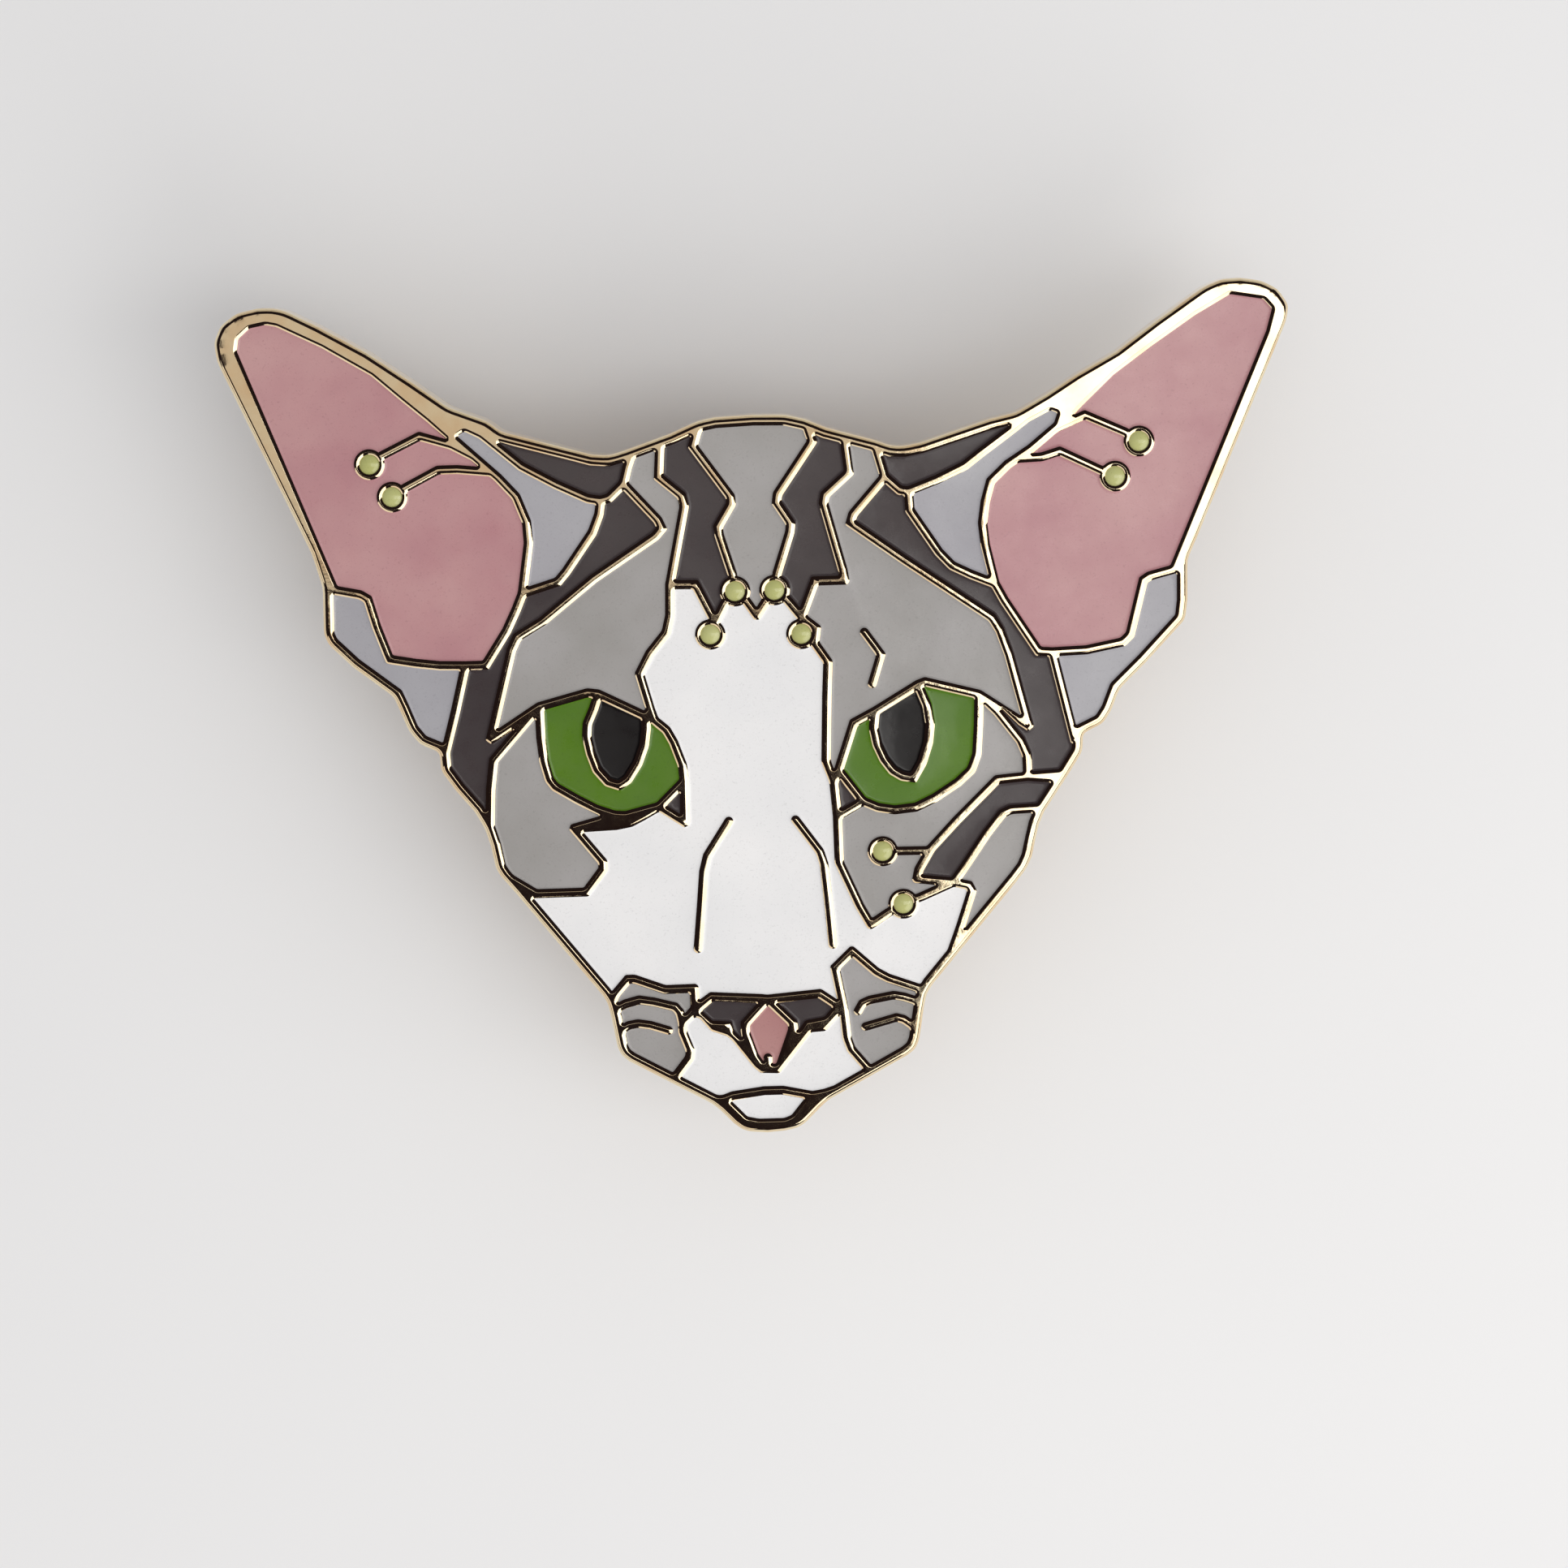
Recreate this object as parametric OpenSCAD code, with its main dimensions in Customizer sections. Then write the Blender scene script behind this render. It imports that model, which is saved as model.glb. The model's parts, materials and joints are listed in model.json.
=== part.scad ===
// Enamel pin: a cat's face struck in one gold-plated plate, its pockets filled with
// coloured enamel, with two soldered posts and two butterfly clutches on its back.
// Origin: below the middle of the face, on the plane that the clutch wings' tips rest on.
// +Z points out of the face, +Y to the ears, +X to the viewer's right. Millimetres.

/* [Plate] */
// Thickness of the struck plate, from its back to the tops of the ridges
plate_t = 2; // [1.8:0.1:2.4]
// Depth of the enamel pockets below the tops of the ridges
pocket_d = 0.8; // [0.5:0.1:1.1]
// How far the enamel's surface lies below the tops of the ridges
enamel_low = 0.14; // [0.04:0.02:0.24]
// Width of the ridges between two colours
ridge_w = 0.44; // [0.4:0.02:0.44]
// Width of the free-ended ridges drawn inside one colour
line_w = 0.42; // [0.38:0.02:0.44]
// Width of the rim around the face
rim_w = 0.5; // [0.4:0.05:0.55]

/* [Dots] */
// Outer radius of the metal ring around a dot
ring_r = 0.72; // [0.66:0.02:0.76]
// Radius of a dot's enamel
dot_r = 0.47; // [0.38:0.01:0.52]

/* [Posts] */
// Distance between the two posts
post_gap = 20; // [18:0.5:22]
// Height of the posts up the face from its middle
post_y = 2; // [0:0.5:4]
// Radius of a post where it goes through the cloth
collar_r = 0.66; // [0.64:0.01:0.68]
// Radius of a post where a clutch grips it
shank_r = 0.5; // [0.46:0.01:0.5]
// Radius of the solder pad under a post
pad_r = 2; // [1.5:0.1:2.5]
// Thickness of the solder pad
pad_t = 0.3; // [0.2:0.05:0.4]
// Height of a post's point above the plane of the wing tips
point_z = 0.5; // [0.3:0.1:1]

/* [Clutches] */
// Height of a clutch, from its wing tips to its disc's face
clutch_h = 6; // [5.8:0.1:6.4]
// Gap for the cloth between a disc and the plate's back
cloth_gap = 2; // [1.8:0.1:2.5]
// Outer radius of a clutch's disc, over its rolled edge
disc_r = 5.75; // [5.2:0.05:6]
// Radius of the disc's rolled edge
roll_r = 0.38; // [0.32:0.02:0.42]
// Thickness of the sheet that the disc, cap and wings are pressed from
sheet_t = 0.3; // [0.25:0.01:0.32]
// Radius of the hole in the disc
hole_r = 0.72; // [0.71:0.01:0.76]
// Angle of a wing below the disc's plane
wing_angle = 48; // [44:1:52]
// Width of a wing
wing_w = 4.6; // [4:0.1:5]

/* [Hidden] */

$fn = 48;
eps = 0.01;

// ---- Heights ----
z_disc = clutch_h;
z_back = z_disc + cloth_gap;
z_top = z_back + plate_t;
z_floor = z_top - pocket_d;
z_enamel = z_top - enamel_low;

// ---- Colours ----
gold = [0.86, 0.75, 0.55];
pink = [0.72, 0.54, 0.54];
nose_pink = [0.69, 0.50, 0.49];
grey = [0.62, 0.61, 0.61];
pale_grey = [0.66, 0.65, 0.68];
dark = [0.29, 0.27, 0.28];
white = [0.91, 0.91, 0.91];
green = [0.33, 0.47, 0.11];
black = [0.08, 0.06, 0.08];
dot_green = [0.72, 0.74, 0.48];

// ---- Outline of the plate ----
outline = [
    // left ear, from the fold at its foot up to its tip and back to the head
    [-20.3, 4.1], [-20.5, 4.6], [-20.45, 6.8], [-20.9, 8.4], [-24.9, 17.5], [-25, 18.4],
    [-24.65, 19.15], [-23.9, 19.7], [-22.9, 19.9], [-22.2, 19.9], [-21.6, 19.75],
    [-20.1, 18.97], [-17.9, 17.7], [-15.9, 16.3], [-14.2, 15.05], [-12.4, 14.35],
    // top of the head, with its two notches
    [-11.8, 13.85], [-8.8, 13], [-7.6, 12.65], [-6.8, 12.58], [-6, 12.8], [-3.9, 13.5],
    [-2.6, 14.05], [-1.8, 14.2], [0, 14.27], [1.5, 14.23], [2.4, 14], [3.4, 13.57],
    [5.7, 12.9], [6.4, 12.63], [7, 12.6], [7.8, 12.75], [11, 13.73], [12.25, 14],
    // right ear
    [13.7, 14.8], [15.1, 15.67], [17, 16.7], [18.8, 18], [21.1, 19.55], [21.9, 19.87],
    [22.8, 19.9], [23.75, 19.75], [24.5, 19.35], [25, 18.6], [24.9, 17.9], [20.6, 8],
    [20.1, 6.9], [20.07, 5], [19.95, 4.1],
    // right cheek down to the chin
    [18.1, 2.15], [16.8, 0.9], [16.4, -0.1], [16, -0.7], [15.05, -1.15], [15, -2],
    [14.3, -3.1], [13.15, -4.8], [12.88, -5.4], [12.7, -6.1], [12.5, -6.95],
    [12.25, -7.5], [11.8, -8.07], [7.65, -12.95], [7.35, -13.4], [7.2, -14.1],
    [6.95, -15.6], [6.75, -16.05], [6.35, -16.35], [2.5, -18.43], [2.1, -18.8],
    [1.4, -19.5], [1, -19.73], [0.4, -19.84], [-0.4, -19.9], [-1.2, -19.84],
    [-1.6, -19.72], [-2, -19.4], [-2.6, -18.77], [-3, -18.42],
    // left cheek up to the ear
    [-6.85, -16.27], [-7.2, -16], [-7.4, -15.6], [-7.65, -14.1], [-7.8, -13.4],
    [-8.05, -13], [-11.95, -8], [-12.6, -7.2], [-12.85, -6.8], [-13.05, -5.7],
    [-13.3, -4.85], [-13.75, -4.05], [-14.6, -3], [-15.25, -2.05], [-15.3, -1.15],
    [-16.2, -0.75], [-16.7, -0.1], [-17.1, 0.95], [-17.35, 1.55], [-19.2, 3]
];

// ---- Places where ridges meet ----
// l_ is the viewer's left, r_ the viewer's right
l_ear_foot = [-13.9, 2.92];
l_ear_heel = [-12.95, 2.92];
l_inner_foot = [-11.08, 6.25];
l_inner_top = [-7.25, 10.5];
l_temple = [-6.15, 11.25];
l_lid_out = [-10.5, 0.88];
l_lid_mid = [-7.7, 1.4];
l_lid_in = [-5.5, 0.28];
l_eye_in = [-5.1, 0.08];
l_tear_top = [-3.8, -2.85];
l_tear_foot = [-3.82, -4.84];
l_tear_end = [-5.02, -4.03];
l_pupil_foot = [-6.88, -2.98];
l_brow_foot = [-4.15, 6.45];
l_brow_tip = [-2.08, 4.6];
l_lip = [-3.65, -13.78];
l_whisker = [-4.28, -14.45];
r_ear_foot = [13.7, 2.75];
r_ear_heel = [13.05, 2.8];
r_inner_foot = [11.08, 6.05];
r_inner_top = [7.15, 10.5];
r_temple = [6.05, 11.2];
r_lid_out = [10.2, 0.85];
r_lid_mid = [7.35, 1.4];
r_lid_in = [5.3, 0.2];
r_eye_in = [3.5, -2.55];
r_tear_top = [3.26, -3.08];
r_tear_foot = [3.38, -4.74];
r_tear_end = [4.6, -4.06];
r_pupil_foot = [7.02, -3.02];
r_brow_foot = [4.05, 6.42];
r_brow_tip = [1.98, 4.75];
r_cheek_top = [12.4, -3.1];
r_cheek_bend = [10.95, -3.22];
r_cheek_foot = [8.78, -8.05];
r_lip = [3.4, -14];
nose_top = [-0.2, -13.42];

// ---- Dots ----
l_ear_dots = [[-18, 12.5], [-17, 10.95]];
r_ear_dots = [[17.95, 12.5], [16.8, 10.9]];
ear_dot_at = concat(l_ear_dots, r_ear_dots);
crown_dot_left = [-1.1, 6.05];
crown_dot_right = [0.75, 6.05];
forehead_dot_at = [crown_dot_left, crown_dot_right, [-2.33, 4.05], [1.95, 3.95]];
cheek_dot_low = [6.38, -9.02];
cheek_dot_at = [[5.47, -6.48], cheek_dot_low];

// ---- Ridges that two colours share, each from one meeting place to the next ----
l_ear_edge = [[-14.2, 13.75], [-12, 11.7], [-11.2, 10.8], [-10.75, 9.6], [-10.7, 8.6], l_inner_foot];
l_ear_low = [l_inner_foot, [-11.4, 5.5], [-11.9, 4.5], l_ear_heel];
l_ear_base = [l_ear_foot, [-15.1, 2.96], [-16.2, 3.1], [-17.45, 3.33], [-18, 4.9], [-18.35, 6.2],
    [-18.7, 6.42], [-19.91, 6.67]];
l_inner_upper = [[-12.7, 13.75], [-10.9, 12.2], [-9.3, 11.3], [-7.85, 10.6], l_inner_top];
l_inner_side = [l_inner_top, [-7.35, 9.85], [-7.7, 9], [-9, 7.2], [-9.4, 6.75], l_inner_foot];
l_temple_low = [l_inner_top, [-6.85, 10.6], l_temple];
l_temple_side = [l_temple, [-5.95, 12], [-5.5, 13.2]];
l_fold_side = [l_ear_foot, [-14.45, 0.8], [-15.05, -1.3]];
l_stripe_edge = [l_temple, [-4.6, 9.5], [-4.43, 9.1], [-4.75, 8.75], [-7.7, 6.85], [-10.2, 4.9],
    [-11.4, 4.2], [-11.7, 3.6], [-12.85, -0.6], l_lid_out];
l_cheek_side = [l_lid_out, [-12.75, -1.6], [-12.95, -3], [-13.05, -4.8]];
l_brow_side = [[-4.3, 14.2], [-4.5, 11.5], [-3.45, 10.6], [-3.35, 10.1], [-4.05, 6.9], l_brow_foot];
l_brow_low = [l_brow_foot, [-2.95, 6.42], l_brow_tip];
l_chain = [crown_dot_left, [-1.6, 5.5], l_brow_tip];
l_crown_side = [[-2.3, 14.6], [-2.85, 12.9], [-1.17, 10.5], [-1.15, 10.15], [-1.8, 9.1],
    [-1.75, 8.7], [-1.2, 6.85], crown_dot_left];
crown_low = [crown_dot_left, [-0.6, 5.6], [-0.12, 4.88], [0.3, 5.5], crown_dot_right];
l_face_upper = [l_brow_foot, [-4.2, 5], [-4.4, 4.2], [-5.2, 3.25], [-5.72, 2.3], [-5.27, 0.6]];
l_face_side = concat(l_face_upper, [l_eye_in]);
l_lid_outer = [l_lid_out, [-8.2, 1.47], l_lid_mid];
l_lid_inner = [l_lid_mid, l_lid_in];
l_eye_inner = [l_eye_in, [-4.55, -0.4], [-4.23, -1], [-3.85, -2.1], l_tear_top];
l_eye_outer = [l_lid_out, [-10.48, -0.6], [-10.38, -1.7], [-10.15, -2.6], [-9.9, -2.95],
    [-8.9, -3.57], [-8, -4.07]];
l_eye_under = [[-7.15, -4.38], [-6.6, -4.42], l_tear_end];
l_pupil_outer = [l_lid_mid, [-7.95, 0.7], [-8.27, 0], [-8.32, -0.6], [-8.17, -1.4],
    [-7.9, -2.2], [-7.4, -2.8], l_pupil_foot];
l_pupil_inner = [l_lid_in, [-5.5, -0.3], [-5.62, -1.1], [-5.95, -1.95], [-6.45, -2.7], l_pupil_foot];
l_cheek_low = [[-9.08, -4.95], [-7.78, -6.6], [-7.78, -6.95], [-8.62, -8.02], [-11, -8.03]];
l_muzzle_top = [l_lip, [-3.67, -12.8], [-5.05, -12.82], [-5.9, -12.5], [-6.5, -12.27],
    [-6.8, -12.27], [-7.4, -12.95]];
l_whisker_line = [[-7.9, -13.9], [-6.95, -13.45], [-6.3, -13.28], [-5.6, -13.4], [-4.6, -13.67],
    [-4.38, -13.95], l_whisker];
l_lip_side = [l_whisker, [-4.28, -14.9], [-3.95, -15.8], [-4, -16.15], [-4.9, -17.3]];

r_ear_edge = [[14.2, 13.35], [12.9, 12.3], [11.8, 11.6], [11, 10.85], [10.72, 9.9], [10.57, 8.9],
    [10.67, 7.9], r_inner_foot];
r_ear_low = [r_inner_foot, [11.5, 5.25], r_ear_heel];
r_ear_base = [r_ear_foot, [15.3, 2.8], [17, 3.12], [17.35, 3.45], [18.02, 6], [18.3, 6.18],
    [19.46, 6.47]];
r_inner_upper = [[12.75, 13.75], [11.8, 13.05], [10.6, 12.2], [9.8, 11.6], [8.5, 11], r_inner_top];
r_inner_side = [r_inner_top, [7.2, 9.6], [7.85, 8.6], [8.5, 7.6], [9.1, 6.95], [10, 6.5],
    r_inner_foot];
r_temple_low = [r_inner_top, [6.75, 10.55], r_temple];
r_temple_side = [r_temple, [5.7, 12.5], [5.4, 13.3]];
r_fold_side = [r_ear_foot, [14.1, 1], [14.65, -1.4]];
r_stripe_edge = [r_temple, [4.52, 9.5], [4.4, 9.1], [6.85, 7.3], [9.35, 5.55], [10.9, 4.45],
    [11.25, 3.85], [11.65, 2.7], [12.5, -0.72], r_lid_out];
r_cheek_side = [r_lid_out, [11.05, 0], [12.1, -1.4], [12.38, -2.1], r_cheek_top];
r_brow_side = [[4.1, 14.2], [4.4, 11.45], [3.25, 10.45], [3.17, 10.05], [3.98, 6.9], r_brow_foot];
r_brow_low = [r_brow_foot, [2.65, 6.42], r_brow_tip];
r_chain = [crown_dot_right, [1.3, 5.6], r_brow_tip];
r_crown_side = [[2.2, 14.6], [2.72, 12.95], [1.03, 10.55], [0.97, 10.15], [1.6, 9.15],
    [1.55, 8.75], [0.9, 6.85], crown_dot_right];
r_face_side = [r_brow_tip, [2.65, 4.2], [2.55, 3.5], [3.15, 2.6], [3.05, 1], [2.92, -2.1],
    r_tear_top];
r_lid_outer = [r_lid_out, [7.68, 1.52], r_lid_mid];
r_lid_inner = [r_lid_mid, r_lid_in];
r_eye_inner = [r_lid_in, [4.28, -0.32], r_eye_in];
r_eye_outer = [r_tear_end, [5.3, -4.38], [6.1, -4.52], [7.1, -4.42], [8, -4], [9.1, -3.3],
    [9.75, -2.72], [10.03, -2], [10.14, -0.6], r_lid_out];
r_pupil_outer = [r_lid_mid, [7.75, 0.4], [7.87, -0.5], [7.77, -1.35], [7.45, -2.3], r_pupil_foot];
r_pupil_inner = [r_lid_in, [5.2, -0.6], [5.35, -1.4], [5.65, -2.1], [6.05, -2.65], [6.5, -2.93],
    r_pupil_foot];
r_cheek_low = [cheek_dot_low, [5.65, -9.42], [4.8, -9.97], [4.3, -9.05], [3.4, -6.95],
    r_tear_foot];
r_cheek_hook = [r_cheek_foot, [7.25, -8.7], cheek_dot_low];
r_stripe_side = [r_cheek_bend, [9, -5.1], [7.75, -6.4], [7.15, -7.4], [7.05, -7.84], r_cheek_foot];
r_stripe_low = [r_cheek_foot, [9.2, -7.5], [10.4, -5.78], [11.15, -4.85], [11.55, -4.67],
    [13.5, -4.6]];
r_jaw_side = [r_cheek_foot, [9.5, -8.22], [9.63, -8.5], [9.05, -10.2], [8.6, -11.4]];
r_muzzle_top = [[7.4, -13.25], [5.55, -12.57], [5, -12.25], [3.88, -11.22], [3.05, -12],
    [3.3, -13.4], r_lip];
r_lip_side = [r_lip, [3.52, -15.4], [3.7, -15.95], [4.8, -17.3]];

nose_arch = [l_lip, [-2.85, -13.22], [-0.5, -13.38], nose_top, [0.3, -13.38], [2.3, -13.22], r_lip];
nose_left = [nose_top, [-1.3, -14.58], [-1.3, -15], [-0.92, -16.15], [-0.52, -16.77]];
nose_right = [[0.27, -16.77], [0.93, -15], [0.97, -14.62], nose_top];
jowl_top = [[-3.72, -13.95], [-3.32, -14.07], [-2.8, -14.7], [-2.1, -14.95], [-1.8, -15.2],
    [-0.8, -16.55], [-0.55, -16.77], [0.15, -16.8], [1.72, -14.87], [2.4, -14.83], [3, -14.2],
    r_lip];
chin_top = [[-2.45, -18.22], [-2, -18.05], [-0.5, -17.85], [0.4, -17.85], [1.8, -18.15]];

// ---- Free-ended ridges inside one colour ----
l_ear_lines = [
    [l_ear_dots[0], [-17.4, 12.9], [-15.6, 13.75], [-14.15, 13.3], [-13.1, 12.72]],
    [l_ear_dots[1], [-16.4, 11.35], [-14.8, 12.15], [-13.9, 12.15], [-12.3, 11.98]]
];
r_ear_lines = [
    [r_ear_dots[0], [17.3, 12.95], [15.45, 13.8], [14, 13.19]],
    [r_ear_dots[1], [16.15, 11.2], [14.25, 12.15], [13.4, 11.9], [12.2, 11.86]]
];
brow_mark = [[4.9, 3.95], [5.65, 2.87], [5.2, 1.5]];
face_lines = [
    [l_brow_tip, [-2.33, 4.05]],
    [r_brow_tip, [1.95, 3.95]],
    [[-1.75, -4.82], [-2.83, -6.45], [-3.03, -7.2], [-3.2, -8.9], [-3.42, -10.9]],
    [[1.4, -4.85], [2.5, -6.4], [2.68, -7], [2.85, -9], [2.98, -10.88]]
];
cheek_line = [[5.47, -6.48], [7.6, -6.5]];
muzzle_left_line = [[-7.2, -14.72], [-6.85, -14.5], [-6.4, -14.42], [-5.8, -14.52], [-4.95, -14.8]];
muzzle_right_lines = [
    [[4.08, -14.12], [4.3, -13.75], [4.65, -13.6], [5.8, -13.4], [6.3, -13.5], [7, -13.75]],
    [[4.42, -14.88], [5.9, -14.48], [6.25, -14.58], [6.8, -15]]
];
nose_line = [[-0.27, -16.25], [-0.27, -16.75]];

// ---- Colour loops, which run along the ridges' middles and across the rim ----
// A loop's side is listed from its end to its start where it is passed through back()
function back(p) = [for (i = [len(p) - 1:-1:0]) p[i]];

l_ear_loop = concat([[-24.17, 17.95], [-24.05, 18.65], [-23.4, 19.2], [-22.55, 19.36],
    [-22, 19.25], [-19.9, 18.2], [-17.6, 16.8], [-16.2, 15.55], [-15.1, 14.6]],
    l_ear_edge, l_ear_low, l_ear_base);
l_fold_loop = concat(l_ear_base, [[-21, 6.9], [-21.2, 4], [-17.6, -0.5], [-15.4, -2]],
    back(l_fold_side));
l_inner_loop = concat([[-13.5, 14.15]], l_ear_edge, back(l_inner_side), back(l_inner_upper));
l_temple_loop = concat(l_inner_upper, l_temple_low, l_temple_side, [[-7, 13.2], [-12.2, 14.6]]);
l_stripe_loop = concat(l_stripe_edge, l_cheek_side, [[-13.9, -4.6], [-15.9, -2]],
    back(l_fold_side), [l_ear_heel], back(l_ear_low), back(l_inner_side), l_temple_low);
l_forehead_loop = concat(l_stripe_edge, l_lid_outer, l_lid_inner, back(l_face_upper),
    back(l_brow_side), back(l_temple_side));
l_brow_loop = concat(l_brow_side, l_brow_low, back(l_chain), back(l_crown_side));
crown_loop = concat(l_crown_side, crown_low, back(r_crown_side));
l_iris_loop = concat(back(l_lid_outer), l_eye_outer, l_eye_under, [l_tear_top],
    back(l_eye_inner), [l_lid_in], l_pupil_inner, back(l_pupil_outer));
l_pupil_loop = concat(l_pupil_outer, back(l_pupil_inner));
l_tear_loop = [l_tear_top, l_tear_foot, l_tear_end];
l_cheek_loop = concat(l_eye_outer, [[-7.25, -4.47]], l_cheek_low, [[-12.6, -7], [-13.9, -6.2]],
    back(l_cheek_side));
muzzle_band_loop = concat(l_muzzle_top, l_whisker_line);
l_muzzle_loop = concat(l_whisker_line, l_lip_side, [[-7.6, -16.8], [-8.2, -15]]);

r_ear_loop = concat([[24.15, 17.35], [24.47, 18.5], [23.95, 19.1], [22.25, 19.4],
    [20.55, 18.45], [18.45, 17.05], [16.7, 15.8], [15.2, 14.4]],
    r_ear_edge, r_ear_low, r_ear_base);
r_fold_loop = concat(r_ear_base, [[20.8, 6.8], [21, 4], [17.2, -0.4], [15.2, -2]],
    back(r_fold_side));
r_inner_loop = concat([[13.85, 14.3], [14.45, 14.05]], r_ear_edge, back(r_inner_side),
    back(r_inner_upper));
r_temple_loop = concat(r_inner_upper, r_temple_low, r_temple_side, [[7, 13.2], [12.2, 14.6]]);
r_stripe_loop = concat(r_stripe_edge, r_cheek_side, [[14.3, -3], [16, -2]], back(r_fold_side),
    [r_ear_heel], back(r_ear_low), back(r_inner_side), r_temple_low);
r_forehead_loop = concat(r_stripe_edge, r_lid_outer, r_lid_inner, r_eye_inner,
    back(r_face_side), back(r_brow_low), back(r_brow_side), back(r_temple_side));
r_brow_loop = concat(r_brow_side, r_brow_low, back(r_chain), back(r_crown_side));
r_iris_loop = concat(back(r_lid_outer), back(r_eye_outer), [r_eye_in], back(r_eye_inner),
    r_pupil_inner, back(r_pupil_outer));
r_pupil_loop = concat(r_pupil_outer, back(r_pupil_inner));
r_tear_loop = [r_eye_in, r_tear_top, r_tear_foot, r_tear_end];
r_cheek_loop = concat(r_cheek_side, r_stripe_side, r_cheek_hook, r_cheek_low, r_eye_outer);
cheek_stripe_loop = concat(r_stripe_side, r_stripe_low, [[14.4, -3.3], r_cheek_top]);
jaw_loop = concat(r_stripe_low, [[13.3, -6.5], [12.6, -8.2], [9.2, -12.2]], back(r_jaw_side));
r_muzzle_loop = concat(r_muzzle_top, r_lip_side, [[7.2, -16.8], [7.9, -15]]);

nose_loop = concat(nose_left, nose_right);
l_nostril_loop = [[-3.68, -13.88], [-2.85, -13.22], nose_top, [-1.3, -14.58], [-1.3, -15],
    [-1.22, -15.85], [-2.02, -15.05], [-2.12, -14.66], [-2.95, -14.6]];
r_nostril_loop = [nose_top, [0.3, -13.38], [2.3, -13.22], [3.2, -13.88], [2.6, -14.55],
    [1.7, -14.7], [1.04, -15.6], [0.97, -14.62]];
jowl_loop = concat(jowl_top, r_lip_side, [[2.4, -18.05]], back(chin_top), [[-3, -18.2]],
    back(l_lip_side));
chin_loop = concat(chin_top, [[0.9, -19.25], [0.45, -19.42], [-0.8, -19.42], [-1.45, -19.28]]);
face_loop = concat(l_brow_low, back(l_chain), crown_low, r_chain, r_face_side, back(r_cheek_low),
    back(r_cheek_hook), r_jaw_side, [[8, -13.2]], r_muzzle_top, back(nose_arch), l_muzzle_top,
    [[-8.3, -13.4], [-12.4, -8.1]], back(l_cheek_low), [[-7.1, -4.88], [-6.4, -4.76], [-5.8, -4.46],
    l_tear_end, l_tear_foot], back(l_eye_inner), back(l_face_side));

ALL_LOOPS = [
    l_ear_loop, r_ear_loop, l_fold_loop, r_fold_loop, l_inner_loop, r_inner_loop,
    l_temple_loop, r_temple_loop, l_stripe_loop, r_stripe_loop, l_forehead_loop,
    r_forehead_loop, l_brow_loop, r_brow_loop, crown_loop, face_loop, l_iris_loop,
    r_iris_loop, l_pupil_loop, r_pupil_loop, l_tear_loop, r_tear_loop, l_cheek_loop,
    r_cheek_loop, cheek_stripe_loop, jaw_loop, muzzle_band_loop, l_muzzle_loop,
    r_muzzle_loop, l_nostril_loop, r_nostril_loop, nose_loop, jowl_loop, chin_loop
];
ALL_LINES = concat(l_ear_lines, r_ear_lines, face_lines, muzzle_right_lines,
    [brow_mark, cheek_line, muzzle_left_line, nose_line]);
ALL_DOTS = concat(ear_dot_at, forehead_dot_at, cheek_dot_at);

// ---- Insetting a loop by half a ridge ----
function unit(v) = v / norm(v);
// Drops each point that repeats the one before it
function tidy(p) = [for (i = [0:len(p) - 1]) if (norm(p[i] - p[(i + 1) % len(p)]) > eps) p[i]];
// Twice the signed area: positive where the loop runs anticlockwise
function area2(p) = [for (i = [0:len(p) - 1]) cross(p[i], p[(i + 1) % len(p)])] * [for (q = p) 1];
// A corner moves along the bisector of its sides. A sharp corner that points into the
// loop is cut off square, so that the ridge around it has no spike.
blunt_reach = 0.45;
sharp_limit = 1.1;
function corner(a, b, c, d, s) =
    let (u = unit(b - a), v = unit(c - b))
    let (nu = s * [-u.y, u.x], nv = s * [-v.y, v.x])
    let (turn = 1 + nu * nv, inward = s * cross(u, v) < 0)
    inward && turn < sharp_limit
        ? [b + d * (nu + blunt_reach * u), b + d * (nv - blunt_reach * v)]
        : [b + (nu + nv) * d / turn];
function inset(loop, d) =
    let (p = tidy(loop), n = len(p), s = sign(area2(p)))
    [for (i = [0:n - 1]) each corner(p[(i + n - 1) % n], p[i], p[(i + 1) % n], d, s)];

// ---- Outline of a free-ended ridge: mitred along its route, round at both ends ----
cap_steps = 8;
function left_of(v) = [-v.y, v.x];
function mitre(a, b, c, d) =
    let (m = left_of(unit(b - a)), n = left_of(unit(c - b)))
    b + (m + n) * d / (1 + m * n);
function side(p, d) = [for (i = [1:1:len(p) - 2]) mitre(p[i - 1], p[i], p[i + 1], d)];
// Half a circle around b, clockwise, for a ridge that arrives from a
function cap(a, b, d) =
    let (start = atan2(b.y - a.y, b.x - a.x) + 90)
    [for (i = [0:cap_steps]) let (t = start - 180 * i / cap_steps) b + d * [cos(t), sin(t)]];
function stroke(p, d) =
    let (q = back(p), n = len(p))
    concat(side(p, d), cap(p[n - 2], p[n - 1], d), side(q, d), cap(p[1], p[0], d));

// ---- Modules shared by the face's sub-parts ----
module slab(points, low, high) {
    translate([0, 0, low])
        linear_extrude(high - low)
            polygon(points);
}

module ridge(route, low, high) {
    slab(stroke(route, line_w / 2), low, high);
}

module discs(places, r, low, high) {
    for (p = places)
        translate([p.x, p.y, low])
            cylinder(r = r, h = high - low);
}

// The solid between two heights that a colour fills, inside the rim and clear of the
// free-ended ridges and the rings given
module fill(loop, lines, rings, low, high) {
    difference() {
        intersection() {
            slab(inset(loop, ridge_w / 2), low, high);
            slab(inset(outline, rim_w), low - 1, high + 1);
        }
        for (route = lines)
            ridge(route, low - 1, high + 1);
        discs(rings, ring_r, low - 1, high + 1);
    }
}

module enamel(colour, loop, lines = [], rings = []) {
    color(colour)
        fill(loop, lines, rings, z_floor, z_enamel);
}

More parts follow.
